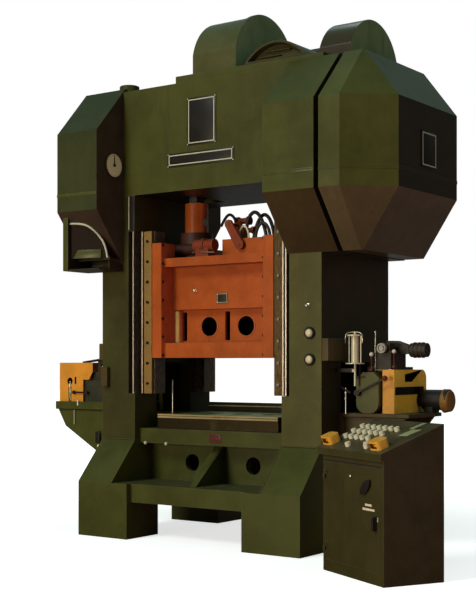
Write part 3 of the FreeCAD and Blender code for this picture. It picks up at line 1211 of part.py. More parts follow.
def make_feed_controls(front, at):
    """The handwheel and the three levers of the feed."""
    z = S["FeedGuardTop"] + 163
    wheel = turned([(front - 46, 0), (front + 34, 0), (front + 34, 12), (front - 14, 12), (front - 14, 20),
                    (front - 30, 20), (front - 30, S["HandwheelRadius"] - 10),
                    (front - 20, S["HandwheelRadius"] - 10),
                    (front - 20, S["HandwheelRadius"]), (front - 46, S["HandwheelRadius"]),
                    (front - 46, S["HandwheelRadius"] - 10), (front - 36, S["HandwheelRadius"] - 10),
                    (front - 36, 20), (front - 46, 20)], x=at + 52, axis="Y", z=z)
    node("feed_handwheel", wheel)
    lever_foot = S["GearBoxTop"]
    for name, x, y in (("front", S["GearBoxRight"] - 84, front - 50),
                       ("rear", at + 124 + S["GuideClearance"], front + 25)):
        low = lever_foot if name == "front" else S["FeedGuardTop"] + 4
        boss = rod("X", 16 - S["SeatGap"], x - 14, x + 14, (y, low + 16))
        stem = rod("Z", S["LeverRadius"] - 1, low + 20, low + 128, (x, y))
        node(name + "_release_lever", fuse(boss, stem, ball(S["BallRadius"] - 4, x, y, low + 136)))
    x, z = S["GearBoxLeft"] + 22, S["FeedLine"] + 56
    face = -S["FeedHalfDepth"]
    hub = rod("Y", 22, face - 34, face - S["SeatGap"], (x, z))
    shift = S["LeverLength"] * 0.94
    rise = S["LeverLength"] * 0.45
    arm = slab("XZ", [(x - 3, z - 8), (x + shift, z + rise - 7), (x + shift, z + rise + 7), (x - 3, z + 8)],
               face - 30, face - 16)
    grip = ball(S["BallRadius"] + 2, x + shift + 8, face - 23, z + rise + 2)
    node("feed_lever", fuse(hub, arm, grip))


def make_feed_guard(front):
    """The amber guard over the rolls: a tall rounded hood with a long slot."""
    left, right = S["FeedGuardLeft"], S["FeedGuardRight"]
    low, high = S["FeedTableTop"], S["FeedGuardTop"]
    wall, rear, corner = S["DeskWall"], S["FeedHalfDepth"] + 20, 70
    start = front - 50

    def side_view(inset):
        """The guard's rounded side view."""
        return [(start + inset, low if inset == 0 else low - 1),
                (rear - inset, low if inset == 0 else low - 1),
                (rear - inset, high - corner, corner - dim(inset)), (rear - corner, high - inset),
                (start + inset, high - inset)]

    shell = slab("YZ", side_view(0), left, right)
    hollow = slab("YZ", side_view(wall), left - 1, right - wall)
    slot = box((right - wall - 1, right + 1), (start + 14, rear - 44), (low + 140, low + 200))
    notch = box((right - wall - 1, right + 1), (start + 171, start + 284), (low + 240, low + 294))
    motor = rod("X", S["FeedMotorRadius"] * 0.6 + 4, right - wall - 1, right + 1,
                (S["FeedMotorY"], low + FEED_MOTOR_RISE))
    top = box((left - 61, left + 1), (start, S["FeedHalfDepth"] - 62), (high - wall, high))
    post_gap = box((left - 62, left - 1), (front - 2, front + 10), (high - wall - 1, high + 1))
    node("feed_guard", cut(fuse(shell, top), hollow, slot, notch, motor, post_gap))


def make_oiler():
    """The sight-glass oiler in its frame, on an arm from the right upright."""
    x, y, low, high = S["OilerX"], S["OilerY"], S["OilerBottom"], S["OilerTop"]
    radius = S["OilerRadius"]
    plate = rod("Z", radius + 16, low, low + 8, (x, y))
    cap = rod("Z", radius + 4, high, high + 12, (x, y))
    knob = rod("Z", 10, high + 11, high + 34, (x, y))
    glass = rod("Z", radius * 0.5, low + 7, high + 1, (x, y))
    posts = [rod("Z", 5, low + 7, high + 1, (x + sign * radius * 0.9, y)) for sign in ENDS]
    stem = rod("Z", 8, low - 167, low + 1, (x, y))
    arm = box((S["FrameHalfLength"], x), span(y, 9), (low - 60, low - 36))
    node("oiler", fuse(plate, cap, knob, glass, stem, arm, *posts))


def make_boxes():
    """The junction boxes on the uprights, and the two lamps on the right upright."""
    low = S["DuctTop"] - S["DuctHeight"]
    right = box((S["FrameHalfLength"], S["FrameHalfLength"] + S["DuctDepth"]),
                (-S["FrameHalfDepth"], -S["FrameHalfDepth"] + 286), (low, S["DuctTop"]))
    face = -S["FrameHalfDepth"]
    left = box((-S["FrameHalfLength"] + 18, -S["FrameHalfLength"] + 84), (face - 40, face), (1232, 1400))
    upper = box((-S["FrameHalfLength"] - 50, -S["FrameHalfLength"]), (face + 10, face + 200), (1455, 1600))
    node("junction_boxes", group(right, left, upper))
    lamps = []
    for z in (S["ButtonLow"], S["ButtonHigh"]):
        x = S["FrameHalfLength"] - 102
        bezel = rod("Y", S["LampRadius"], face - 16, face, (x, z))
        lens = rod("Y", S["LampRadius"] * 0.72, face - 24, face - 15, (x, z))
        lamps.append(fuse(bezel, lens))
    lamps.append(rod("Y", 16, face - 20, face, (S["FrameHalfLength"] - 120, S["DuctTop"] + 247)))
    node("upright_lamps", group(*lamps))


def make_left_shelf():
    """The bracket that carries the scrap cutter on the left upright."""
    x = (-S["ShelfEnd"], -S["FrameHalfLength"])
    top, half, lip = S["ShelfTop"], S["ShelfFront"], S["ShelfLip"]
    plate = S["FeedPlate"] / 2
    table_top = box(x, even(half), (top - lip, top))
    side = [(x[0] + 14, top - lip), (x[0] + 104, top - 220), (x[0] + 495, top - 445), (x[1], top - 605),
            (x[1], top - lip)]
    outer = slab("XZ", side, -half + 20, half - 20)
    inner = [(x[0] + 14 + plate, top - lip - plate), (x[0] + 113 + plate, top - 211),
             (x[0] + 500, top - 425),
             (x[1] - plate, top - 575), (x[1] - plate, top - lip - plate)]
    hollow = slab("XZ", inner, -half + 20 + plate, half - 20 - plate)
    node("left_shelf", fuse(table_top, cut(outer, hollow)))


def make_left_unit():
    """The scrap cutter on the left shelf, its hand lever and its amber guard."""
    top, half = S["ShelfTop"], S["ShelfFront"]
    right = -S["LeftGuardRight"]
    wall = S["DeskWall"]
    left = -S["ShelfEnd"] + 24
    high = S["LeftGuardTop"]
    face = [(left, top), (right - 112, top), (right - 112, high - 152), (right - 46, high - 152),
            (right, high - 83), (right, high), (left, high)]
    front = -half + 30
    plate = slab("XZ", face, front, front + wall)
    hole = rod("Y", 32, front - 1, front + wall + 1, (left + 125, high - 165))
    slot = box((left + 182, left + 202), (front - 1, front + wall + 1), (high - 191, high - 128))
    gap = box((left + 108, left + 142), (front - 1, front + wall + 1), (top + 1, high - 216))
    sheet_left = box((left, left + wall), (front, half - 60), (top, high))
    sheet_top = box((left, right), (front, half - 60), (high - wall, high))
    node("left_guard", fuse(cut(plate, hole, slot, gap), sheet_left, sheet_top))
    base = box((right - 94, -S["FrameHalfLength"] - 60), (front + 10, half - 80), (top, top + 186))
    step = box((right - 50, -S["FrameHalfLength"] - 90), (front + 40, half - 100), (top + 185, top + 262))
    ram = box((right + 10, -S["FrameHalfLength"] - 60), (front + 60, half - 110), (top + 261, top + 372))
    knob_rod = rod("Y", 10, front + 20, front + 61, (right + 66, top + 326))
    pivot_x, pivot_z = right - 60, top + 82
    seat = rod("Y", 9 + S["RunClearance"], front + 9, front + 34, (pivot_x, pivot_z))
    throat = box((right - 200, -S["FrameHalfLength"]), even(120), (S["FeedLine"] - 21, S["FeedLine"] + 19))
    node("scrap_cutter", cut(fuse(base, step, ram, knob_rod), seat, throat))
    pin = rod("Y", 9, front - 30, front + 32, (pivot_x, pivot_z))
    eye = rod("Y", 16, front - 27, front - 9, (pivot_x, pivot_z))
    # the arm is turned from one bar with its round knob
    thin, thick = S["LeverRadius"], S["BallRadius"]
    profile = [(pivot_x - 170, 0), (pivot_x - 166, thick * 0.5), (pivot_x - 158, thick * 0.9),
               (pivot_x - 150, thick), (pivot_x - 142, thick * 0.9), (pivot_x - 134, thin + 1),
               (pivot_x - 134, thin), (pivot_x - 8, thin), (pivot_x - 8, 0)]
    arm = turned(profile, y=front - 18, z=pivot_z)
    node("cutter_lever", fuse(pin, eye, arm))


# ---------------------------------------------------------------- control desk

def desk_local(item):
    """Moves a piece drawn in the desk's own axes to the desk's place on the floor."""
    moved = document.addObject("Part::Compound", fresh("desk"))
    moved.Links = [item]
    moved.Placement = FreeCAD.Placement(VECTOR(), FreeCAD.Rotation(VECTOR(0, 0, -1), S["DeskTurn"].value))
    moved.setExpression("Placement.Rotation.Angle", S["DeskTurn"].text)
    return bind(moved, base_x=S["DeskX"], base_y=S["DeskY"])


def on_desk_top(item):
    """Moves a piece drawn on a level plane, Y up the slope from the lip, onto the desk's sloped top."""
    rise, run = S["DeskRearTop"] - S["DeskLipTop"], S["DeskDepth"] + S["DeskOverhang"]
    slope = math.degrees(math.atan2(rise.value, run.value))
    moved = document.addObject("Part::Compound", fresh("slope"))
    moved.Links = [item]
    moved.Placement = FreeCAD.Placement(VECTOR(), FreeCAD.Rotation(VECTOR(1, 0, 0), slope))
    moved.setExpression("Placement.Rotation.Angle", "atan(%s / %s)" % (rise.text, run.text))
    bind(moved, base_y=-S["DeskOverhang"], base_z=S["DeskLipTop"])
    return desk_local(moved)


def make_desk():
    """The control desk: cabinet, sloped top, buttons, palm guards, door and handle.

    In the desk's own axes X runs along its front, from -DeskLength to 0, and Y to the back.
    """
    length, depth, wall = S["DeskLength"], S["DeskDepth"], S["DeskWall"]
    over = S["DeskOverhang"]
    body = box((-length, 0), (0, depth), (0, S["DeskBodyTop"]))
    hollow = box((-length + wall, -wall), (wall + S["DoorThick"], depth - wall),
                 (wall, S["DeskBodyTop"] + 1))
    margin = S["DoorMargin"]
    door_x = (-length + margin, -margin)
    door_z = (S["DeskPlinth"] + 12, S["DeskBodyTop"] - 46)
    doorway = box(door_x, (-1, S["DoorThick"] + wall + 1), door_z)
    desk = [(-over, S["DeskBodyTop"]), (depth, S["DeskBodyTop"]), (depth, S["DeskRearTop"]),
            (-over, S["DeskLipTop"])]
    inner = [(-over + wall, S["DeskBodyTop"] + wall), (depth - wall, S["DeskBodyTop"] + wall),
             (depth - wall, S["DeskRearTop"] - wall * 2), (-over + wall, S["DeskLipTop"] - wall * 1.5)]
    left = -length - S["DeskLeftOver"]
    top = cut(slab("YZ", desk, left, dim(0)), slab("YZ", inner, left + wall, -wall))
    node("desk_cabinet", desk_local(fuse(cut(body, hollow, doorway), top,
                                         *cabinet_knuckles(door_x, door_z))))
    make_door(door_x, door_z)
    make_desk_buttons()


def hinge_places(door_z):
    """The heights of the two hinges: each is where the fixed and the moving knuckle meet."""
    return (door_z[0] + 90, door_z[1] - 90)


def cabinet_knuckles(door_x, door_z):
    """The hinge halves that belong to the cabinet."""
    x, y, size = door_x[0], S["HingeBack"], S["HingeRadius"]
    parts = []
    for z in hinge_places(door_z):
        knuckle = rod("Z", size, z - 30, z, (x, -y))
        leaf = box((x - 26, x), (-y, 0), (z - 30, z))
        bore = rod("Z", size / 2 + S["RunClearance"], z - 31, z + 1, (x, -y))
        parts.append(cut(fuse(knuckle, leaf), bore))
    return parts


def make_door(door_x, door_z):
    """The cabinet's door on its two hinge pins, and the turning handle."""
    gap, thick = S["DoorGap"], S["DoorThick"]
    low, high = door_x[0] + gap, door_x[1] - gap
    leaf = box((low, high), (-2, thick - 4), (door_z[0] + gap, door_z[1] - gap))
    dish = box((low + thick, high - thick), (2, thick), (door_z[0] + gap + thick, door_z[1] - gap - thick))
    handle_x, handle_z = high - 52, door_z[1] - 330
    bore = rod("Y", 8 + S["RunClearance"], -3, thick, (handle_x, handle_z))
    x, y, size = door_x[0], S["HingeBack"], S["HingeRadius"]
    knuckles = []
    for z in hinge_places(door_z):
        foot = z + S["SeatGap"]
        knuckles.append(rod("Z", size, foot, foot + 30, (x, -y)))
        knuckles.append(rod("Z", size / 2, z - 28, foot + 1, (x, -y)))
        knuckles.append(box((x, low + 24), (-y, -1), (foot, foot + 30)))
    node("desk_door", desk_local(cut(fuse(cut(leaf, dish), *knuckles), bore)))
    spindle = rod("Y", 8, -14, 14, (handle_x, handle_z))
    rose = rod("Y", 20, -8, -2 - S["SeatGap"], (handle_x, handle_z))
    grip = box(span(handle_x, 11), (-34, -13), (handle_z - 78, handle_z + 14))
    node("door_handle", desk_local(fuse(spindle, rose, grip)))


def key_places():
    """The push buttons' places on the desk top, as (along the front, up the slope)."""
    length, pitch, rise = S["DeskLength"], S["KeyPitch"], S["DeskDepth"] + S["DeskOverhang"]
    places = []
    for count, start, back in ((7, 21, 0.733), (6, 29, 0.563), (5, 57, 0.382)):
        for column in range(count):
            places.append((-length + start + pitch * column, rise * back))
    for start, back in ((277, 0.132), (467, 0.2), (511, 0.135)):
        places.append((-length + start, rise * back))
    return places


def hood_rectangle(middle, inset):
    """A palm button hood's rounded outline about its middle."""
    x, y = middle
    half, deep = S["PalmHoodHalfLength"] - inset, S["PalmHoodHalfDepth"] - inset
    corner = S["PalmHoodHalfDepth"] * 0.6 - inset
    return [(x - half, y - deep + corner, corner), (x - half + corner, y - deep),
            (x + half - corner, y - deep, corner), (x + half, y - deep + corner),
            (x + half, y + deep - corner, corner), (x + half - corner, y + deep),
            (x - half + corner, y + deep, corner), (x - half, y + deep - corner)]


def make_desk_buttons():
    """The push buttons, the palm buttons and their guards on the sloped top."""
    keys = [rod("Z", S["KeyRadius"], 0, S["KeyHeight"], place) for place in key_places()]
    node("desk_buttons", on_desk_top(group(*keys)))
    guards = []
    wall, height = 6, S["PalmHoodHeight"]
    for name, from_right, up in (("left", S["DeskLength"] - 15, 0.184), ("right", dim(136), 0.177)):
        x, y = -from_right, (S["DeskDepth"] + S["DeskOverhang"]) * up
        deep = S["PalmHoodHalfDepth"]
        hood = slab("XY", hood_rectangle((x, y), 0), 0, height)
        inside = slab("XY", hood_rectangle((x, y), wall), -1, height - wall)
        mouth = box(span(x, S["PalmHoodHalfLength"] - 20), (y - deep - 1, y - deep * 0.3),
                    (12, height - wall - 6))
        guards.append(cut(hood, inside, mouth))
        rim = S["PalmTravel"] + 14
        guards.append(cut(rod("Z", 14, 0, 14, (x, y)), rod("Z", 8 + S["RunClearance"], -1, 15, (x, y))))
        cap = rod("Z", S["PalmRadius"], rim, rim + 18, (x, y))
        stem = rod("Z", 8, S["PalmTravel"] + 1, rim + 1, (x, y))
        node(name + "_palm_button", on_desk_top(fuse(cap, stem)))
    node("palm_guards", on_desk_top(group(*guards)))


# ---------------------------------------------------------------- slide top gear

def make_slide_gear():
    """The adjusting motor and the pair of link arms on top of the slide."""
    low = S["SlideTopRail"]
    y = -S["SlidePanelHalfDepth"] - 70
    motor = rod("X", 50, -219, -20, (y, low + 92))
    foot = box((-190, -60), span(y, 44), (low, low + 92))
    collar = rod("X", 58, -150, -112, (y, low + 92))
    node("adjusting_motor", fuse(motor, foot, collar))
    arms = []
    low_x, low_z = LINK_FOOT[0], low + LINK_FOOT[1]
    high_x, high_z = LINK_HEAD[0], low + LINK_HEAD[1]
    face = -S["SlidePanelHalfDepth"]
    for start in (face - 38, face + 92):
        eye_low = rod("Y", 43, start, start + 24, (low_x, low_z))
        eye_high = rod("Y", 36, start, start + 24, (high_x, high_z))
        bar = slab("XZ", [(low_x - 40, low_z - 12), (low_x + 40, low_z + 12), (high_x + 34, high_z + 10),
                          (high_x - 34, high_z - 10)], start, start + 24)
        arms.append(fuse(eye_low, eye_high, bar))
    pins = [rod("Y", 14, face - 44, face + 124, (low_x, low_z)),
            rod("Y", 14, face - 44, face + 124, (high_x, high_z))]
    node("link_arms", fuse(*(arms + pins)))


def build():
    """Makes every piece of the press."""
    make_bed()
    for name, sign in SIDES:
        make_upright(name, sign)
    make_crown()
    make_tie_rods()
    make_bolster()
    make_gibs()
    make_slide()
    make_slide_bolts()
    make_points()
    make_slide_gear()
    make_wheels(make_crankshaft())
    make_motor()
    make_left_cover()
    make_inner_cover()
    make_outer_cover()
    make_brake_guard()
    make_hoods()
    make_cowl()
    make_dial()
    make_feed_table()
    make_feed()
    make_oiler()
    make_boxes()
    make_left_shelf()
    make_left_unit()
    make_desk()


def check_and_write():
    """Recomputes, stops if anything failed, and writes each node's STEP file."""
    document.recompute()
    for item in document.Objects:
        if "Invalid" in item.State or "Error" in item.State:
            sys.exit("%s failed: %s" % (item.Label, item.State))
    os.makedirs("parts", exist_ok=True)
    for name, item in nodes.items():
        if item.Shape.isNull() or not item.Shape.isValid() or not item.Shape.Solids:
            sys.exit("%s has no valid shape" % name)
    for name, item in nodes.items():
        item.Shape.exportStep("parts/%s.step" % name)
        print("%-22s %3d solids %12.0f mm3" % (name, len(item.Shape.Solids), item.Shape.Volume))


build()
check_and_write()
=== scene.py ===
import logging
import math
from dataclasses import dataclass, replace
from enum import Enum
from typing import Callable, ClassVar, Dict, Iterable, List, Optional, Sequence, Tuple, Union

import bmesh
import bpy
from mathutils import Matrix, Vector


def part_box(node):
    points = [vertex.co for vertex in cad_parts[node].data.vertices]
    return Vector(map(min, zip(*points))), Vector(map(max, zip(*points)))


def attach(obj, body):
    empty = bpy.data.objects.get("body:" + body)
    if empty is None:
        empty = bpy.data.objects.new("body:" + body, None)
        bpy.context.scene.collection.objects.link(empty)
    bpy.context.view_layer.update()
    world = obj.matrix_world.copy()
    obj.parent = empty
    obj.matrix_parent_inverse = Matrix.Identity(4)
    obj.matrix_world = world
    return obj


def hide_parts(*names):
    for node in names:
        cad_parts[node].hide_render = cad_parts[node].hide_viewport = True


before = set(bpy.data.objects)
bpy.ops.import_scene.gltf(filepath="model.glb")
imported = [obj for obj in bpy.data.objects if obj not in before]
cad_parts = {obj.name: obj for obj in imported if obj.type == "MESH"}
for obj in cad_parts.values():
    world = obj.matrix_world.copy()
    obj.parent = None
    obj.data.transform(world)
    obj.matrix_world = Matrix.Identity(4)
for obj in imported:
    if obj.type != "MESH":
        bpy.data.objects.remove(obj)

LOG = logging.getLogger("stamping_press")

Colour = Tuple[float, float, float]
Point = Tuple[float, float, float]
Flat = Tuple[float, float]
Span = Tuple[Point, Point]
Key = Union[int, str]

FORWARD: Point = (0.0, -1.0, 0.0)
RIGHTWARD: Point = (1.0, 0.0, 0.0)
UPWARD: Point = (0.0, 0.0, 1.0)
WHITE = (1.0, 1.0, 1.0, 1.0)

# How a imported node's loose triangles become a skin with rounded edges, in metres and radians.
MERGE_DISTANCE = 2e-5
FLAT_ANGLE = math.radians(0.6)
FOLD_ANGLE = math.radians(28)
CORNER_ANGLE = math.radians(60)
FLAT_WEIGHT = 80

# Edges that are sharper than this many degrees stay sharp.
SMOOTH = 32.0
ROUND_SMOOTH = 60.0


class Rider(str, Enum):
    """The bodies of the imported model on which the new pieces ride."""

    FRAME = "frame"
    SLIDE = "slide"
    FRONT_LEVER = "front_lever"
    REAR_LEVER = "rear_lever"
    FEED_LEVER = "feed_hand_lever"
    DOOR = "door"


class Grain(Enum):
    """The way in which a machined surface's marks run."""

    ALONG_X = (1.0, 26.0, 26.0)
    ALONG_Y = (26.0, 1.0, 26.0)
    ALONG_Z = (26.0, 26.0, 1.0)


# ------------------------------------------------------------------ shader maths


class Signal:
    """A value in a shader graph that can be added, subtracted and multiplied."""

    def __init__(self, graph: "Graph", socket: bpy.types.NodeSocket) -> None:
        """Wraps an output socket of a graph."""
        self.graph = graph
        self.socket = socket

    def _math(self, operation: str, first: "Value", second: "Value") -> "Signal":
        """Adds one Math node.

        Args:
            operation: the Math node's operation.
            first: the left value.
            second: the right value.

        Returns:
            The node's result.
        """
        return self.graph.signal("ShaderNodeMath", {"operation": operation}, {0: first, 1: second})

    def __add__(self, other: "Value") -> "Signal":
        """Sum."""
        return self._math("ADD", self, other)

    def __sub__(self, other: "Value") -> "Signal":
        """Difference."""
        return self._math("SUBTRACT", self, other)

    def __rsub__(self, other: "Value") -> "Signal":
        """Reflected difference."""
        return self._math("SUBTRACT", other, self)

    def __mul__(self, other: "Value") -> "Signal":
        """Product."""
        return self._math("MULTIPLY", self, other)

    def __abs__(self) -> "Signal":
        """Value without its sign."""
        return self.graph.signal("ShaderNodeMath", {"operation": "ABSOLUTE"}, {0: self})

    def ramp(self, low: float, high: float) -> "Signal":
        """A smooth step from 0 at low to 1 at high."""
        return self.graph.signal("ShaderNodeMapRange", {"interpolation_type": "SMOOTHSTEP"},
                                 {0: self, 1: low, 2: high, 3: 0.0, 4: 1.0})


Value = Union[float, Signal]
Tint = Union[Colour, Signal]


@dataclass(frozen=True)
class Cloud:
    """A noise texture's settings."""

    scale: float
    detail: float
    rough: float


def socket_of(sockets: Sequence[bpy.types.NodeSocket], key: Key) -> bpy.types.NodeSocket:
    """Finds a node's socket.

    Args:
        sockets: the node's inputs or outputs.
        key: the socket's index, identifier or name.

    Returns:
        The socket.
    """
    if isinstance(key, int):
        return sockets[key]
    return next(socket for socket in sockets if key in (socket.identifier, socket.name))


class NodeTree:
    """A node tree, with one method that adds any node."""

    tree: bpy.types.NodeTree

    def node(self, kind: str, settings: Dict[str, object], sockets: Dict[Key, object]) -> bpy.types.Node:
        """Adds a node.

        Args:
            kind: the node's type name.
            settings: its properties, which are set before its sockets.
            sockets: values or links by the socket's index, identifier or name.

        Returns:
            The new node.
        """
        made = self.tree.nodes.new(kind)
        for name, value in settings.items():
            setattr(made, name, value)
        for key, value in sockets.items():
            target = socket_of(made.inputs, key)
            source = value.socket if isinstance(value, Signal) else value
            if isinstance(source, bpy.types.NodeSocket):
                self.tree.links.new(source, target)
            else:
                target.default_value = source
        return made


class Graph(NodeTree):
    """A material's or a world's node tree."""

    def __init__(self, name: str) -> None:
        """Starts an empty material with its output node.

        Args:
            name: the material's name.
        """
        self.material = bpy.data.materials.new(name)
        self.material.use_nodes = True
        self.start(self.material.node_tree, "ShaderNodeOutputMaterial")

    @classmethod
    def of_world(cls, world: bpy.types.World) -> "Graph":
        """A graph that builds a world's nodes.

        Args:
            world: the world, which uses nodes.

        Returns:
            The graph.
        """
        graph = cls.__new__(cls)
        graph.start(world.node_tree, "ShaderNodeOutputWorld")
        return graph

    def start(self, tree: bpy.types.NodeTree, output: str) -> None:
        """Empties a tree and adds its output node.

        Args:
            tree: the tree.
            output: the output node's type name.
        """
        self.tree = tree
        self.tree.nodes.clear()
        self.output = self.tree.nodes.new(output)

    def signal(self, kind: str, settings: Dict[str, object], sockets: Dict[Key, object],
               output: Key = 0) -> Signal:
        """Adds a node and keeps one of its outputs.

        Args:
            kind: the node's type name.
            settings: its properties.
            sockets: values or links by the socket's index, identifier or name.
            output: the output's index, identifier or name.

        Returns:
            The output.
        """
        return Signal(self, socket_of(self.node(kind, settings, sockets).outputs, output))

    def end(self, shader: Signal) -> None:
        """Links a shader to the output node."""
        self.tree.links.new(shader.socket, self.output.inputs[0])

    def place(self) -> Signal:
        """Object coordinates."""
        return self.signal("ShaderNodeTexCoord", {}, {}, "Object")

    def stretched(self, place: Signal, scale: Point) -> Signal:
        """Coordinates scaled by axis, for marks that run one way."""
        return self.signal("ShaderNodeMapping", {}, {"Vector": place, "Scale": scale})

    def noise(self, place: Signal, cloud: Cloud) -> Signal:
        """Noise between 0 and 1."""
        return self.signal("ShaderNodeTexNoise", {}, {
            "Vector": place, "Scale": cloud.scale, "Detail": cloud.detail, "Roughness": cloud.rough})

    def mix(self, factor: Value, first: Tint, second: Tint) -> Signal:
        """Mixes two colours.

        Args:
            factor: 0 for the first colour, 1 for the second.
            first: the first colour.
            second: the second colour.

        Returns:
            The mixed colour.
        """
        full = [colour if isinstance(colour, Signal) else (*colour, 1.0) for colour in (first, second)]
        return self.signal("ShaderNodeMix", {"data_type": "RGBA", "clamp_factor": True},
                           {"Factor_Float": factor, "A_Color": full[0], "B_Color": full[1]}, "Result_Color")

    def mottled(self, cloud: Signal, colour: Colour, low: float, high: float) -> Signal:
        """A colour that a cloud makes darker and lighter."""
        return self.mix(cloud, tinted(colour, low), tinted(colour, high))

    def dot(self, vector: Signal, way: Value) -> Signal:
        """How far a vector goes along a way."""
        return self.signal("ShaderNodeVectorMath", {"operation": "DOT_PRODUCT"}, {0: vector, 1: way}, "Value")

    def along(self, vector: Signal, axis: str) -> Signal:
        """One part of a vector."""
        return self.signal("ShaderNodeSeparateXYZ", {}, {0: vector}, axis)

    def normal(self) -> Signal:
        """The way in which a surface faces."""
        return self.signal("ShaderNodeNewGeometry", {}, {}, "Normal")

    def facing(self, axis: str) -> Signal:
        """How much a surface faces along an axis."""
        return self.along(self.normal(), axis)

    def edges(self, radius: float) -> Signal:
        """How near a point lies to a sharp edge, from 0 on a flat to about 0.3 on an edge."""
        rounded = self.signal("ShaderNodeBevel", {"samples": 4}, {"Radius": radius})
        return 1.0 - self.dot(rounded, self.normal())

    def bump(self, height: Signal, strength: float, distance: float) -> Signal:
        """A bumpy normal."""
        return self.signal("ShaderNodeBump", {},
                           {"Strength": strength, "Distance": distance, "Height": height})

    def close(self, **sockets: object) -> bpy.types.Material:
        """Adds the Principled shader.

        Args:
            **sockets: its inputs, with underscores for the spaces in their names.

        Returns:
            The finished material.
        """
        values = {key.replace("_", " "): value for key, value in sockets.items()}
        self.end(self.signal("ShaderNodeBsdfPrincipled", {}, values))
        return self.material


def tinted(colour: Colour, amount: float) -> Colour:
    """A colour made lighter or darker by a factor."""
    return tuple(min(1.0, max(0.0, part * amount)) for part in colour)


# ------------------------------------------------------------------ finishes


SHOP_DUST: Colour = (0.17, 0.15, 0.11)
OLD_OIL: Colour = (0.09, 0.065, 0.035)
RUBBED_IRON: Colour = (0.2, 0.18, 0.15)
# Pale edge colour for worn paint. It also serves as a painted highlight along folds and edges.
PALE_EDGE_WEAR_AND_HIGHLIGHT: Colour = (0.15, 0.145, 0.085)

BROAD = Cloud(1.3, 5.0, 0.62)
PATCHES = Cloud(7.0, 5.0, 0.60)
SPECKS = Cloud(55.0, 3.0, 0.70)
ORANGE_PEEL = Cloud(260.0, 2.0, 0.50)
OIL_RUNS = Cloud(1.0, 4.0, 0.65)
TOOL_MARKS = Cloud(22.0, 3.0, 0.60)
STAINS = Cloud(5.0, 5.0, 0.60)
CAST_GRAIN = Cloud(130.0, 4.0, 0.65)
CAST_PATCHES = Cloud(9.0, 4.0, 0.60)
FINGERMARKS = Cloud(30.0, 4.0, 0.60)
MOULD_GRAIN = Cloud(420.0, 2.0, 0.50)


@dataclass(frozen=True)
class Finish:
    """A surface finish whose material is made once."""

    name: str
    colour: Colour

    def build(self) -> bpy.types.Material:
        """Makes the material."""
        raise NotImplementedError

    def material(self) -> bpy.types.Material:
        """The finish's material, made on first use."""
        return bpy.data.materials.get(self.name) or self.build()


@dataclass(frozen=True)
class Enamel(Finish):
    """Machine enamel: slight orange peel, soiling, runs of old oil and worn edges that double as a painted
    edge highlight, with painted light and shade on faces that look to the right or downwards.
    """

    roughness: float = 0.36
    soil: float = 0.35
    wear: float = 0.6
    dust: float = 0.35
    bare: Colour = PALE_EDGE_WEAR_AND_HIGHLIGHT
    specular: float = 0.18
    # Painted light and shade: side is a colour for faces that look to +X and under is one for faces that look
    # down. They stand in for how the lamps light those faces.
    side: Optional[Colour] = None
    under: Optional[Colour] = None

    # Where each layer sets in, over a noise or over the way in which a face looks.
    mottling: ClassVar[Flat] = (0.38, 0.62)
    painted_side_reach: ClassVar[Flat] = (0.70, 0.90)
    painted_under_reach: ClassVar[Flat] = (0.25, 0.50)
    upwards: ClassVar[Flat] = (0.75, 0.98)
    grimy_runs: ClassVar[Flat] = (0.54, 0.72)
    grimy_patches: ClassVar[Flat] = (0.36, 0.60)
    dusty_patches: ClassVar[Flat] = (0.25, 0.75)
    chips: ClassVar[Flat] = (0.10, 0.17)
    run_length: ClassVar[Point] = (9.0, 9.0, 0.7)
    edge_reach: ClassVar[float] = 0.007

    def build(self) -> bpy.types.Material:
        """Makes the enamel's layers.

        Returns:
            The material.
        """
        graph = Graph(self.name)
        place = graph.place()
        broad = graph.noise(place, BROAD)
        patch = graph.noise(place, PATCHES)
        speck = graph.noise(place, SPECKS)
        peel = graph.noise(place, ORANGE_PEEL)
        runs = graph.noise(graph.stretched(place, self.run_length), OIL_RUNS)
        cloud = (broad * 0.6 + patch * 0.25 + speck * 0.15).ramp(*self.mottling)
        paint = graph.mottled(cloud, self.colour, 0.80, 1.22)
        # Painted light and shade: faces that look to +X take the side colour, and faces that look down take
        # the under colour.
        if self.side:
            right = graph.facing("X").ramp(*self.painted_side_reach)
            paint = graph.mix(right, paint, graph.mottled(cloud, self.side, 0.75, 1.25))
        if self.under:
            painted_below = (graph.facing("Z") * -1.0).ramp(*self.painted_under_reach)
            paint = graph.mix(painted_below, paint, graph.mottled(cloud, self.under, 0.80, 1.20))
        grime = runs.ramp(*self.grimy_runs) * patch.ramp(*self.grimy_patches) * self.soil
        paint = graph.mix(grime, paint, tinted(self.colour, 0.38))
        settled = graph.facing("Z").ramp(*self.upwards) * patch.ramp(*self.dusty_patches) * self.dust
        paint = graph.mix(settled, paint, SHOP_DUST)
        # Worn edges in the bare colour. These also paint a highlight along folds and edges.
        chipped_and_highlit = (graph.edges(self.edge_reach) + (patch - 0.5) * 0.16).ramp(*self.chips) * self.wear
        paint = graph.mix(chipped_and_highlit, paint, self.bare)
        gloss = patch * 0.12 + (self.roughness - 0.06) + grime * 0.2 + settled * 0.3 + chipped_and_highlit * 0.15
        normal = graph.bump(peel * 0.25 + patch, 0.10, 0.0016)
        return graph.close(Base_Color=paint, Roughness=gloss, Normal=normal, Specular_IOR_Level=self.specular)


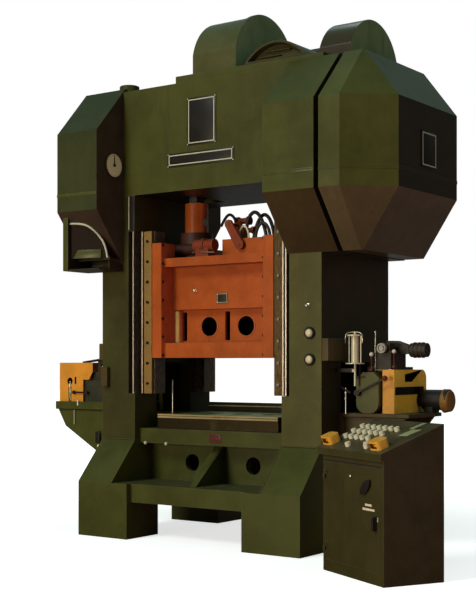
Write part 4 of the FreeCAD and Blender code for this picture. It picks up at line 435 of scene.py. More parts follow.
@dataclass(frozen=True)
class Machined(Finish):
    """Ground or turned steel with tool marks and a film of oil."""

    roughness: float = 0.32
    grain: Grain = Grain.ALONG_X
    stain: float = 0.4
    other_side: Optional[Colour] = None
    walls: Optional[Colour] = None
    depth: float = 0.0

    # How the marks and the film set in, and how a face's way and place choose its colour.
    marked: ClassVar[Flat] = (0.35, 0.65)
    filmed: ClassVar[Flat] = (0.48, 0.72)
    square_on: ClassVar[Flat] = (0.4, 0.8)
    middle: ClassVar[Flat] = (-0.01, 0.01)
    blend: ClassVar[float] = 0.004
    dulled: ClassVar[float] = 0.72

    def build(self) -> bpy.types.Material:
        """Makes the steel's layers.

        Returns:
            The material.
        """
        graph = Graph(self.name)
        place = graph.place()
        marks = graph.noise(graph.stretched(place, self.grain.value), TOOL_MARKS)
        cloud = graph.noise(place, STAINS)
        colour: Tint = self.colour
        dull = tinted(self.colour, self.dulled)
        if self.other_side:
            across = graph.along(place, "X").ramp(*self.middle)
            colour = graph.mix(across, self.colour, self.other_side)
        if self.walls and self.depth:
            out = abs(graph.along(place, "Y")).ramp(self.depth - self.blend, self.depth + self.blend)
            bright = out * abs(graph.facing("Y")).ramp(*self.square_on)
            colour = graph.mix(bright, self.walls, colour)
        elif self.walls:
            colour = graph.mix(graph.facing("Z").ramp(*self.square_on), self.walls, colour)
            dull = tinted(self.walls, self.dulled)
        metal = graph.mix(marks.ramp(*self.marked) * 0.5, colour, dull)
        film = cloud.ramp(*self.filmed) * self.stain
        metal = graph.mix(film, metal, OLD_OIL)
        gloss = marks * 0.22 + (self.roughness - 0.11) + film * 0.25
        normal = graph.bump(marks, 0.12, 0.0004)
        return graph.close(Base_Color=metal, Metallic=0.85, Roughness=gloss, Normal=normal)


@dataclass(frozen=True)
class Cast(Finish):
    """Rough cast or forged metal, bare or under thin black paint."""

    roughness: float = 0.55
    metallic: float = 0.0

    mottling: ClassVar[Flat] = (0.3, 0.7)
    rubbed_edges: ClassVar[Flat] = (0.09, 0.16)
    edge_reach: ClassVar[float] = 0.004

    def build(self) -> bpy.types.Material:
        """Makes the casting's layers.

        Returns:
            The material.
        """
        graph = Graph(self.name)
        place = graph.place()
        skin = graph.noise(place, CAST_GRAIN)
        cloud = graph.noise(place, CAST_PATCHES)
        rubbed = (graph.edges(self.edge_reach) + (cloud - 0.5) * 0.12).ramp(*self.rubbed_edges)
        metal = graph.mottled(cloud.ramp(*self.mottling), self.colour, 0.75, 1.3)
        metal = graph.mix(rubbed * 0.55, metal, RUBBED_IRON)
        gloss = skin * 0.16 + (self.roughness - 0.08)
        return graph.close(Base_Color=metal, Metallic=self.metallic, Roughness=gloss,
                           Normal=graph.bump(skin, 0.25, 0.0012), Specular_IOR_Level=0.22)


@dataclass(frozen=True)
class Moulded(Finish):
    """Moulded plastic, rubber or glazed metal with fingermarks."""

    roughness: float = 0.3
    coat: float = 0.2
    soil: float = 0.3

    fingered: ClassVar[Flat] = (0.45, 0.75)

    def build(self) -> bpy.types.Material:
        """Makes the moulding's layers.

        Returns:
            The material.
        """
        graph = Graph(self.name)
        place = graph.place()
        cloud = graph.noise(place, FINGERMARKS)
        fine = graph.noise(place, MOULD_GRAIN)
        film = cloud.ramp(*self.fingered) * self.soil
        colour = graph.mix(film, self.colour, tinted(self.colour, 0.55))
        gloss = cloud * 0.14 + (self.roughness - 0.07)
        return graph.close(Base_Color=colour, Roughness=gloss, Normal=graph.bump(fine, 0.05, 0.0006),
                           Coat_Weight=self.coat, Coat_Roughness=0.15)


# Painted light and shade: GREEN's under colour darkens its downward faces, and the side colours of
# GREEN_RIGHT and GREEN_DESK recolour their right-facing faces.
GREEN = Enamel("green_enamel", (0.054, 0.060, 0.0125), under=(0.020, 0.010, 0.004))
GREEN_LEFT = Enamel("green_left_enamel", (0.045, 0.045, 0.0125))
GREEN_RIGHT = Enamel("green_right_enamel", (0.072, 0.070, 0.0145), side=(0.032, 0.025, 0.0095))
GREEN_LIGHT = Enamel("green_feed_enamel", (0.072, 0.072, 0.0160), 0.34, 0.45, 0.6)
GREEN_DARK = Enamel("green_black_enamel", (0.026, 0.020, 0.0100), 0.42, 0.5, 0.5)
GREEN_DESK = Enamel("desk_enamel", (0.042, 0.036, 0.0110), 0.40, 0.40, 0.5, side=(0.046, 0.035, 0.0140))
# Painted light and shade on the covers: the side colours darken right-facing faces and lighten them on the
# left cover. The under colours paint the downward slopes a warm brown that stands in for their shading.
GREEN_COVER = Enamel("green_cover_enamel", (0.058, 0.066, 0.0150), 0.30, 0.30, 0.45, 0.45,
                     side=(0.026, 0.017, 0.0085), under=(0.054, 0.038, 0.0165))
COVER_LEFT = replace(GREEN_COVER, name="green_left_cover_enamel", colour=(0.037, 0.045, 0.0165),
                     side=(0.060, 0.046, 0.030), under=(0.044, 0.030, 0.018))
COVER_OUTER = replace(GREEN_COVER, name="green_outer_cover_enamel", colour=(0.062, 0.069, 0.0155),
                      side=(0.021, 0.013, 0.0065), under=(0.098, 0.078, 0.040))
HOOD_COWL = Enamel("green_cowl_enamel", (0.044, 0.044, 0.0150), 0.30, 0.40, 0.5)
# Painted highlight: the hoods' side colours are a bright teal on right-facing faces, a painted reflection.
HOOD_GREEN = Enamel("hood_enamel", (0.062, 0.066, 0.0200), 0.26, 0.60, specular=0.40,
                    side=(0.19, 0.28, 0.125))
HOOD_BROWN = Enamel("brown_hood_enamel", (0.034, 0.026, 0.0110), 0.30, 0.60, dust=0.15, specular=0.30,
                    side=(0.15, 0.24, 0.095))
# Painted shadow: near-black brown for the sheet behind the brake guard, where its inside lies in shade.
GUARD_SHADOW = Enamel("brown_guard_enamel", (0.013, 0.007, 0.003), 0.55, 0.3, 0.2, 0.05, specular=0.08)
# Painted light: ORANGE's side colour lightens the slide's right-facing faces.
ORANGE = Enamel("orange_enamel", (0.36, 0.076, 0.0125), 0.34, 0.40, 0.5, 0.2, bare=(0.35, 0.18, 0.08),
                side=(0.52, 0.115, 0.045))
# Painted highlight: pale orange for the half-round at the slide web's corner, where light catches the rounded
# edge.
HIGHLIGHT_ORANGE = Enamel("worn_orange_enamel", (1.0, 0.62, 0.20), 0.28, 0.15, 0.2)
WORN_EDGE = Enamel("worn_edge", (0.36, 0.28, 0.125), 0.34, 0.8, 0.3)
AMBER = Enamel("amber_enamel", (0.60, 0.26, 0.030), 0.30, 0.30, 0.55, 0.15, bare=(0.30, 0.22, 0.12))
# Painted light: AMBER_FEED's side colour lightens the feed guard's right-facing faces.
AMBER_FEED = replace(AMBER, name="amber_feed_enamel", colour=(0.62, 0.28, 0.034), side=(1.0, 0.60, 0.060))
BROWN = Enamel("brown_enamel", (0.066, 0.047, 0.014), 0.42, 0.5, 0.5)
RED_BROWN = Enamel("red_brown_enamel", (0.19, 0.036, 0.012), 0.40, 0.5)
CAP_BROWN = Enamel("brown_cap_enamel", (0.22, 0.11, 0.022), 0.40, 0.5, 0.5)
LEVER_DARK = Enamel("lever_enamel", (0.075, 0.020, 0.014), 0.40, 0.3, 0.4)
BLACK = Enamel("black_enamel", (0.014, 0.012, 0.010), 0.40, 0.3, 0.5)
PLATE_RED = Enamel("dark_red_plate", (0.14, 0.022, 0.014), 0.35, 0.3, 0.3)
PALE_GREEN = Enamel("pale_green_plate", (0.34, 0.38, 0.20), 0.35, 0.3, 0.3)

BOLSTER_STEEL = Machined("bolster_steel", (0.50, 0.60, 0.24), 0.36, stain=0.5, walls=(0.042, 0.029, 0.011))
GIB_STEEL = Machined("gib_steel", (0.85, 0.72, 0.58), 0.30, Grain.ALONG_Z, 0.15, walls=(0.030, 0.020, 0.011),
                     depth=0.44)
KEEPER_STEEL = Machined("keeper_strip", (0.38, 0.23, 0.075), 0.42, Grain.ALONG_Z, 0.45, (0.014, 0.012, 0.010))
GIB_BOLTS = Machined("gib_bolt_steel", (0.012, 0.010, 0.008), 0.40, Grain.ALONG_Z, 0.3, (0.24, 0.23, 0.19))
SHAFT_STEEL = Machined("shaft_steel", (0.36, 0.35, 0.32), 0.30, stain=0.3)
BRIGHT_STEEL = Machined("bright_turned", (0.58, 0.55, 0.44), 0.26, Grain.ALONG_Z, 0.15)
ROLL_STEEL = Machined("roll_steel", (0.45, 0.44, 0.40), 0.25, Grain.ALONG_Y, 0.2)
BRONZE = Machined("turned_bronze", (0.45, 0.28, 0.10), 0.35, stain=0.3)

CASTING = Cast("grey_casting", (0.060, 0.058, 0.054), metallic=0.3)
BLACK_CAST = Cast("black_casting", (0.016, 0.014, 0.012), 0.5)
HEAD_CAST = Cast("brown_black_casting", (0.034, 0.027, 0.018), 0.5)
HOUSING_CAST = Cast("red_black_casting", (0.050, 0.018, 0.012), 0.5)
CUTTER_CAST = Cast("green_black_casting", (0.030, 0.031, 0.016), 0.5)
BOLT_BLACK = Cast("black_oxide", (0.012, 0.010, 0.009), 0.45, 0.4)
HANDWHEEL_GREY = Cast("grey_handwheel", (0.26, 0.25, 0.22), 0.4, 0.2)

OILER_CREAM = Moulded("oiler_enamel", (0.58, 0.54, 0.36), 0.28, 0.3)
CREAM = Moulded("cream_plastic", (0.66, 0.60, 0.38))
KEY_CREAM = Moulded("key_cream", (0.86, 0.80, 0.58), soil=0.15)
DIAL_ENAMEL = Moulded("dial_enamel", (0.98, 0.94, 0.60), soil=0.0)
WHITE_KNOB = Moulded("white_knob", (0.74, 0.68, 0.52), 0.25)
AMBER_PALM = Moulded("amber_palm", (0.84, 0.42, 0.045), 0.28, 0.3)
BLACK_RUBBER = Moulded("black_rubber", (0.012, 0.011, 0.010), 0.6, 0.0)
PALE_LINE = Moulded("pale_line", (0.50, 0.52, 0.38), 0.4)

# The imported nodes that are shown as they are; the others get a skin of their own.
NODE_FINISHES: Dict[str, Finish] = {
    "tie_rods": SHAFT_STEEL, "gib_bolts": GIB_BOLTS, "slide_bolts": BOLT_BLACK, "plungers": ORANGE,
    "pitmans": CASTING, "wrist_pins": SHAFT_STEEL, "crankshaft": SHAFT_STEEL, "clutch_and_brake": CASTING,
    "main_bearings": BRONZE, "belt_wheel": CASTING, "flywheel": CASTING, "drive_motor": CASTING,
    "motor_pulley": CASTING, "drive_belts": BLACK_RUBBER, "crank_dial": DIAL_ENAMEL, "dial_pointer": BLACK,
    "lower_feed_roll": ROLL_STEEL, "upper_feed_roll": ROLL_STEEL, "feed_handwheel": HANDWHEEL_GREY,
    "front_release_lever": LEVER_DARK, "rear_release_lever": LEVER_DARK, "feed_lever": BLACK,
    "oiler": OILER_CREAM, "cutter_lever": BLACK, "door_handle": BLACK, "desk_buttons": KEY_CREAM,
    "left_palm_button": AMBER_PALM, "right_palm_button": AMBER_PALM,
}


# ------------------------------------------------------------------ forms


class Form:
    """A mesh in the making, in metres in the frame's own axes."""

    sharp: float = 0.6

    def __init__(self) -> None:
        """Starts an empty mesh."""
        self.mesh = bmesh.new()

    def box(self, low: Point, high: Point, bevel: float = 0.0, segments: int = 2) -> "Form":
        """Adds a block with rounded edges.

        Args:
            low: its lowest corner.
            high: its highest corner.
            bevel: the edges' radius.
            segments: steps across each rounded edge.

        Returns:
            The form itself.
        """
        made = bmesh.ops.create_cube(self.mesh, size=1.0)["verts"]
        for vertex in made:
            vertex.co = Vector([(lo + hi) / 2 + part * (hi - lo)
                                for lo, hi, part in zip(low, high, vertex.co)])
        return self._round(made, bevel, segments)

    def _round(self, made: Sequence[bmesh.types.BMVert], bevel: float, segments: int) -> "Form":
        """Rounds the sharp edges among some vertices.

        Args:
            made: the vertices.
            bevel: the edges' radius.
            segments: steps across each rounded edge.

        Returns:
            The form itself.
        """
        if bevel > 0:
            edges = {edge for vertex in made for edge in vertex.link_edges
                     if len(edge.link_faces) == 2 and edge.calc_face_angle(0) > self.sharp}
            bmesh.ops.bevel(self.mesh, geom=list(edges), offset=bevel, segments=segments, profile=0.5,
                            affect="EDGES", clamp_overlap=True)
        return self

    def turned(self, profile: Sequence[Flat], centre: Point, axis: Point, steps: int = 32) -> "Form":
        """Adds a closed turned form.

        Args:
            profile: points as (distance along the axis, radius), from one end to the other.
            centre: where the axis starts.
            axis: the axis's direction.
            steps: flats round the form.

        Returns:
            The form itself.
        """
        turn = Vector((0, 0, 1)).rotation_difference(Vector(axis)).to_matrix()
        rings = []
        for along, radius in profile:
            if radius < 1e-6:
                rings.append([self.mesh.verts.new(Vector(centre) + turn @ Vector((0, 0, along)))])
                continue
            ring = []
            for step in range(steps):
                angle = 2 * math.pi * step / steps
                place = Vector((radius * math.cos(angle), radius * math.sin(angle), along))
                ring.append(self.mesh.verts.new(Vector(centre) + turn @ place))
            rings.append(ring)
        for first, second in zip(rings, rings[1:]):
            for step in range(steps):
                after = (step + 1) % steps
                if len(first) == 1 and len(second) == 1:
                    continue
                if len(first) == 1:
                    corners = (first[0], second[after], second[step])
                elif len(second) == 1:
                    corners = (first[step], first[after], second[0])
                else:
                    corners = (first[step], first[after], second[after], second[step])
                self.mesh.faces.new(corners)
        for ring in (rings[0], rings[-1]):
            if len(ring) > 2:
                self.mesh.faces.new(ring if ring is rings[-1] else ring[::-1])
        return self

    def prism(self, outline: Sequence[Point], sweep: Point, bevel: float = 0.0, segments: int = 2) -> "Form":
        """Adds a flat outline swept along a vector.

        Args:
            outline: the corners in order.
            sweep: the vector that the outline is swept along.
            bevel: the edges' radius.
            segments: steps across each rounded edge.

        Returns:
            The form itself.
        """
        near = [self.mesh.verts.new(Vector(point)) for point in outline]
        far = [self.mesh.verts.new(Vector(point) + Vector(sweep)) for point in outline]
        faces = [self.mesh.faces.new(near[::-1]), self.mesh.faces.new(far)]
        for index in range(len(outline)):
            after = (index + 1) % len(outline)
            faces.append(self.mesh.faces.new((near[index], near[after], far[after], far[index])))
        bmesh.ops.recalc_face_normals(self.mesh, faces=faces)
        return self._round(near + far, bevel, segments)

    def move(self, matrix: Matrix) -> "Form":
        """Moves everything made so far."""
        bmesh.ops.transform(self.mesh, matrix=matrix, verts=self.mesh.verts)
        return self

    def piece(self, name: str, finish: Finish, body: Rider, replaces: Iterable[str] = (),
              smooth: float = SMOOTH) -> bpy.types.Object:
        """Turns the form into a dressed piece.

        Args:
            name: the piece's name.
            finish: its finish.
            body: the body that it rides on.
            replaces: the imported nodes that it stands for.
            smooth: edges sharper than this many degrees stay sharp.

        Returns:
            The piece.
        """
        bmesh.ops.recalc_face_normals(self.mesh, faces=self.mesh.faces)
        data = bpy.data.meshes.new(name)
        self.mesh.to_mesh(data)
        self.mesh.free()
        return dressed(name, data, finish, body, replaces, smooth)


def linked(name: str, data: bpy.types.ID) -> bpy.types.Object:
    """Makes an object of some data and links it to the scene.

    Args:
        name: the object's name.
        data: its mesh, curve, lamp or camera.

    Returns:
        The object.
    """
    thing = bpy.data.objects.new(name, data)
    bpy.context.scene.collection.objects.link(thing)
    return thing


def dressed(name: str, data: bpy.types.Mesh, finish: Finish, body: Rider, replaces: Iterable[str] = (),
            smooth: float = SMOOTH) -> bpy.types.Object:
    """Links a mesh as a piece, with its finish, its body and its shading.

    Args:
        name: the piece's name.
        data: its mesh.
        finish: its finish.
        body: the body that it rides on.
        replaces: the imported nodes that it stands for.
        smooth: edges sharper than this many degrees stay sharp; 0 keeps the edges as they are.

    Returns:
        The piece.
    """
    thing = linked(name, data)
    data.materials.clear()
    data.materials.append(finish.material())
    for face in data.polygons:
        face.use_smooth = True
        face.material_index = 0
    if smooth:
        data.set_sharp_from_angle(angle=math.radians(smooth))
    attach(thing, body.value)
    for node in replaces:
        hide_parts(node)
    LOG.info("made %s on %s", name, body.value)
    return thing


def evaluated(thing: bpy.types.Object, name: str) -> bpy.types.Mesh:
    """Takes the mesh that an object's modifiers give, and removes the object.

    Args:
        thing: the object.
        name: the mesh's name.

    Returns:
        The mesh.
    """
    bpy.context.view_layer.update()
    depsgraph = bpy.context.evaluated_depsgraph_get()
    result = bpy.data.meshes.new_from_object(thing.evaluated_get(depsgraph), depsgraph=depsgraph)
    result.name = name
    bpy.data.objects.remove(thing)
    return result


# ------------------------------------------------------------------ geometry node trees


class Pattern(NodeTree):
    """A geometry node tree with named inputs that ends in plain, finished geometry."""

    def __init__(self, name: str, finish: Finish) -> None:
        """Starts a tree with a geometry input and output.

        Args:
            name: the tree's name.
            finish: the finish of what it makes.
        """
        self.tree = bpy.data.node_groups.new(name, "GeometryNodeTree")
        self.tree.interface.new_socket("Geometry", in_out="INPUT", socket_type="NodeSocketGeometry")
        self.tree.interface.new_socket("Geometry", in_out="OUTPUT", socket_type="NodeSocketGeometry")
        self.finish = finish
        self.entry = self.tree.nodes.new("NodeGroupInput")
        self.exit = self.tree.nodes.new("NodeGroupOutput")
        self.keys: Dict[str, str] = {}

    def size(self, name: str, value: float, whole: bool = False) -> bpy.types.NodeSocket:
        """Adds a named input.

        Args:
            name: the input's name.
            value: its default.
            whole: whether it is a whole number.

        Returns:
            The input's socket inside the tree.
        """
        kind = "NodeSocketInt" if whole else "NodeSocketFloat"
        made = self.tree.interface.new_socket(name, in_out="INPUT", socket_type=kind)
        made.default_value = int(value) if whole else value
        self.keys[name] = made.identifier
        return socket_of(self.entry.outputs, made.identifier)

    def made(self, kind: str, settings: Dict[str, object], sockets: Dict[Key, object],
             output: Key = 0) -> bpy.types.NodeSocket:
        """Adds a node and keeps one of its outputs.

        Args:
            kind: the node's type name.
            settings: its properties.
            sockets: values or links by the socket's index, identifier or name.
            output: the output's index, identifier or name.

        Returns:
            The output.
        """
        return socket_of(self.node(kind, settings, sockets).outputs, output)

    def end(self, geometry: bpy.types.NodeSocket) -> "Pattern":
        """Ends the tree with Realize Instances and Set Material.

        Args:
            geometry: what the tree has made.

        Returns:
            The pattern itself.
        """
        real = self.made("GeometryNodeRealizeInstances", {}, {0: geometry})
        dress = self.made("GeometryNodeSetMaterial", {}, {0: real, "Material": self.finish.material()})
        self.tree.links.new(dress, self.exit.inputs[0])
        return self

    def apply(self, name: str, source: bpy.types.Object, sizes: Dict[str, float], body: Rider,
              smooth: float = SMOOTH) -> bpy.types.Object:
        """Runs the tree on a source object and keeps the result as a plain piece.

        Args:
            name: the piece's name.
            source: the object that carries the points or the path; it is used up.
            sizes: the values of the named inputs.
            body: the body that it rides on.
            smooth: edges sharper than this many degrees stay sharp.

        Returns:
            The piece.
        """
        modifier = source.modifiers.new("pattern", "NODES")
        modifier.node_group = self.tree
        for key, value in sizes.items():
            modifier[self.keys[key]] = value
        return dressed(name, evaluated(source, name), self.finish, body, (), smooth)


def point_cloud(places: Sequence[Point], direction: Point) -> bpy.types.Object:
    """Makes an object whose vertices carry a direction.

    Args:
        places: where the vertices lie.
        direction: the direction that each of them carries.

    Returns:
        The object.
    """
    data = bpy.data.meshes.new("places")
    data.from_pydata([tuple(place) for place in places], [], [])
    facing = data.attributes.new("facing", "FLOAT_VECTOR", "POINT")
    for item in facing.data:
        item.vector = direction
    return linked("places", data)


def path(points: Sequence[Point], bent: bool) -> bpy.types.Object:
    """Makes an object with one open path.

    Args:
        points: the points that the path follows.
        bent: whether it bends past them in a smooth curve.

    Returns:
        The object.
    """
    data = bpy.data.curves.new("path", "CURVE")
    data.dimensions = "3D"
    line = data.splines.new("NURBS" if bent else "POLY")
    line.points.add(len(points) - 1)
    for item, point in zip(line.points, points):
        item.co = (*point, 1.0)
    if bent:
        line.order_u = 3
        line.use_endpoint_u = True
        line.resolution_u = 8
    return linked("path", data)


def screw_pattern(name: str, finish: Finish) -> Pattern:
    """Hexagon or round heads on washers, one at each point.

    Args:
        name: the tree's name.
        finish: the heads' finish.

    Returns:
        The tree.
    """
    pattern = Pattern(name, finish)
    radius = pattern.size("Head Radius", 0.012)
    height = pattern.size("Head Height", 0.008)
    sides = pattern.size("Head Sides", 6, True)
    half, thin = (pattern.made("ShaderNodeMath", {"operation": "MULTIPLY"}, {0: height, 1: share})
                  for share in (0.5, 0.3))
    broad = pattern.made("ShaderNodeMath", {"operation": "MULTIPLY"}, {0: radius, 1: 1.35})
    head = pattern.made("GeometryNodeMeshCylinder", {},
                        {"Vertices": sides, "Radius": radius, "Depth": height})
    lift = pattern.made("ShaderNodeCombineXYZ", {}, {2: half})
    raised = pattern.made("GeometryNodeTransform", {}, {0: head, "Translation": lift})
    washer = pattern.made("GeometryNodeMeshCylinder", {}, {"Vertices": 16, "Radius": broad, "Depth": thin})
    both = pattern.node("GeometryNodeJoinGeometry", {}, {})
    for geometry in (raised, washer):
        pattern.tree.links.new(geometry, both.inputs[0])
    points = pattern.made("GeometryNodeMeshToPoints", {}, {0: pattern.entry.outputs[0]})
    facing = pattern.made("GeometryNodeInputNamedAttribute", {"data_type": "FLOAT_VECTOR"},
                          {"Name": "facing"})
    turn = pattern.made("FunctionNodeAlignRotationToVector", {"axis": "Z"}, {"Vector": facing})
    return pattern.end(pattern.made("GeometryNodeInstanceOnPoints", {},
                                    {"Points": points, "Instance": both.outputs[0], "Rotation": turn}))


def pipe_pattern(name: str, finish: Finish) -> Pattern:
    """A round pipe along a path.

    Args:
        name: the tree's name.
        finish: the pipe's finish.

    Returns:
        The tree.
    """
    pattern = Pattern(name, finish)
    radius = pattern.size("Pipe Radius", 0.008)
    section = pattern.made("GeometryNodeCurvePrimitiveCircle", {"mode": "RADIUS"},
                           {"Resolution": 14, "Radius": radius})
    return pattern.end(pattern.made("GeometryNodeCurveToMesh", {},
                                    {0: pattern.entry.outputs[0], 1: section, "Fill Caps": True}))


def weld_pattern(name: str, finish: Finish) -> Pattern:
    """A rippled weld bead along a path.

    Args:
        name: the tree's name.
        finish: the bead's finish.

    Returns:
        The tree.
    """
    pattern = Pattern(name, finish)
    radius = pattern.size("Bead Radius", 0.007)
    pitch = pattern.size("Ripple Pitch", 0.009)
    drops = pattern.made("GeometryNodeResampleCurve", {"mode": "LENGTH"},
                         {0: pattern.entry.outputs[0], "Length": pitch})
    drop = pattern.made("GeometryNodeMeshIcoSphere", {}, {"Radius": radius, "Subdivisions": 1})
    size = pattern.made("FunctionNodeRandomValue", {"data_type": "FLOAT"},
                        {"Min_001": 0.85, "Max_001": 1.15, "Seed": 11}, "Value_001")
    return pattern.end(pattern.made("GeometryNodeInstanceOnPoints", {},
                                    {"Points": drops, "Instance": drop, "Scale": size}))


def tick_pattern(name: str, finish: Finish) -> Pattern:
    """Marks set round a circle, as on a dial.

    Args:
        name: the tree's name.
        finish: the marks' finish.

    Returns:
        The tree.
    """
    pattern = Pattern(name, finish)
    radius = pattern.size("Ring Radius", 0.05)
    count = pattern.size("Mark Count", 24, True)
    length = pattern.size("Mark Length", 0.008)
    width = pattern.size("Mark Width", 0.002)
    ring = pattern.made("GeometryNodeMeshCircle", {}, {"Vertices": count, "Radius": radius})
    place = pattern.made("GeometryNodeInputPosition", {}, {})
    turn = pattern.made("FunctionNodeAlignRotationToVector", {"axis": "X"}, {"Vector": place})
    form = pattern.made("ShaderNodeCombineXYZ", {}, {0: length, 1: width, 2: 0.001})
    mark = pattern.made("GeometryNodeMeshCube", {}, {"Size": form})
    return pattern.end(pattern.made("GeometryNodeInstanceOnPoints", {},
                                    {"Points": ring, "Instance": mark, "Rotation": turn}))


class Kind(Enum):
    """The kinds of geometry node tree."""

    SCREWS = "screws"
    PIPE = "pipe"
    WELD = "weld"
    TICKS = "ticks"


class Patterns:
    """The geometry node trees, each made once for a finish."""

    made: Dict[str, Pattern] = {}
    makers: Dict[Kind, Callable[[str, Finish], Pattern]] = {
        Kind.SCREWS: screw_pattern, Kind.PIPE: pipe_pattern, Kind.WELD: weld_pattern,
        Kind.TICKS: tick_pattern}

    @classmethod
    def get(cls, kind: Kind, finish: Finish) -> Pattern:
        """Finds a tree, or makes it on its first use.

        Args:
            kind: the kind of tree.
            finish: its finish.

        Returns:
            The tree.
        """
        key = kind.value + "_in_" + finish.name
        if key not in cls.made:
            cls.made[key] = cls.makers[kind](key, finish)
        return cls.made[key]


# ------------------------------------------------------------------ kinds of part


@dataclass(frozen=True)
class Part:
    """A piece that its own sizes describe; each kind of part adds its own fields."""

    name: str
    finish: Finish

    def form(self) -> Form:
        """Makes the part's form in its own axes."""
        raise NotImplementedError

    def make(self, body: Rider, place: Optional[Matrix] = None) -> bpy.types.Object:
        """Makes the piece.

        Args:
            body: the body that it rides on.
            place: where its own axes lie in the press's, if they differ.

        Returns:
            The piece.
        """
        form = self.form()
        if place:
            form.move(place)
        return form.piece(self.name, self.finish, body)


@dataclass(frozen=True)
class Block(Part):
    """A block with rounded edges between its lowest and its highest corner."""

    low: Point
    high: Point
    bevel: float = 0.002
    segments: int = 2

    def form(self) -> Form:
        """Makes the block."""
        return Form().box(self.low, self.high, self.bevel, self.segments)


@dataclass(frozen=True)
class Blocks(Part):
    """Several blocks in one piece, each between its lowest and its highest corner."""

    spans: Tuple[Span, ...]
    bevel: float = 0.0008
    segments: int = 1

    def form(self) -> Form:
        """Makes the blocks.

        Returns:
            The form.
        """
        form = Form()
        for low, high in self.spans:
            form.box(low, high, self.bevel, self.segments)
        return form


@dataclass(frozen=True)
class Slab(Part):
    """A flat outline swept along a vector."""

    outline: Tuple[Point, ...]
    sweep: Point
    bevel: float = 0.0
    segments: int = 2

    def form(self) -> Form:
        """Makes the slab."""
        return Form().prism(self.outline, self.sweep, self.bevel, self.segments)


@dataclass(frozen=True)
class Turning(Part):
    """One form turned round an axis, at each of its places."""

    profile: Tuple[Flat, ...]
    places: Tuple[Point, ...]
    axis: Point = FORWARD
    steps: int = 20

    def form(self) -> Form:
        """Makes the turned forms.

        Returns:
            The form.
        """
        form = Form()
        for place in self.places:
            form.turned(self.profile, place, self.axis, self.steps)
        return form


@dataclass(frozen=True)
class Rod(Part):
    """A round rod or pipe along some points."""

    radius: float
    points: Tuple[Point, ...]
    bent: bool = False

    def make(self, body: Rider, place: Optional[Matrix] = None) -> bpy.types.Object:
        """Runs the pipe tree along the points; place isn't used."""
        tree = Patterns.get(Kind.PIPE, self.finish)
        return tree.apply(self.name, path(self.points, self.bent), {"Pipe Radius": self.radius}, body)


@dataclass(frozen=True)
class Heads(Part):
    """Screw or button heads on washers, at several places on a face that looks one way."""

    radius: float
    height: float
    places: Tuple[Point, ...]
    sides: int = 6
    facing: Point = FORWARD

    def make(self, body: Rider, place: Optional[Matrix] = None) -> bpy.types.Object:
        """Runs the screw tree on the places.

        Args:
            body: the body that they ride on.
            place: not used, as the heads lie on the press.

        Returns:
            The piece.
        """
        sizes = {"Head Radius": self.radius, "Head Height": self.height, "Head Sides": self.sides}
        tree = Patterns.get(Kind.SCREWS, self.finish)
        return tree.apply(self.name, point_cloud(self.places, self.facing), sizes, body)


@dataclass(frozen=True)
class Skin(Part):
    """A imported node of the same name, again with its edges rounded over, as a piece that replaces it."""

    radius: float
    segments: int = 2

    def make(self, body: Rider, place: Optional[Matrix] = None) -> bpy.types.Object:
        """Copies, merges and rounds the node's mesh.

        Args:
            body: the body that it rides on.
            place: not used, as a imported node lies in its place.

        Returns:
            The piece.
        """
        shell = bmesh.new()
        shell.from_mesh(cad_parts[self.name].data)
        bmesh.ops.remove_doubles(shell, verts=shell.verts, dist=MERGE_DISTANCE)
        bmesh.ops.dissolve_limit(shell, angle_limit=FLAT_ANGLE, verts=shell.verts, edges=shell.edges)
        data = bpy.data.meshes.new(self.name)
        shell.to_mesh(data)
        shell.free()
        for face in data.polygons:
            face.use_smooth = True
        data.set_sharp_from_angle(angle=CORNER_ANGLE)
        holder = linked(self.name + "_work", data)
        rounding = holder.modifiers.new("edges", "BEVEL")
        rounding.width = self.radius
        rounding.segments = self.segments
        rounding.limit_method = "ANGLE"
        rounding.angle_limit = FOLD_ANGLE
        rounding.use_clamp_overlap = True
        rounding.miter_outer = "MITER_ARC"
        weighing = holder.modifiers.new("normals", "WEIGHTED_NORMAL")
        weighing.keep_sharp = False
        weighing.weight = FLAT_WEIGHT
        skin = self.name + "_skin"
        result = evaluated(holder, skin)
        bpy.data.meshes.remove(data)
        return dressed(skin, result, self.finish, body, (self.name,), 0.0)


class Side(Enum):
    """The way in which the face under a plate looks."""

    FRONT = FORWARD
    RIGHT = RIGHTWARD


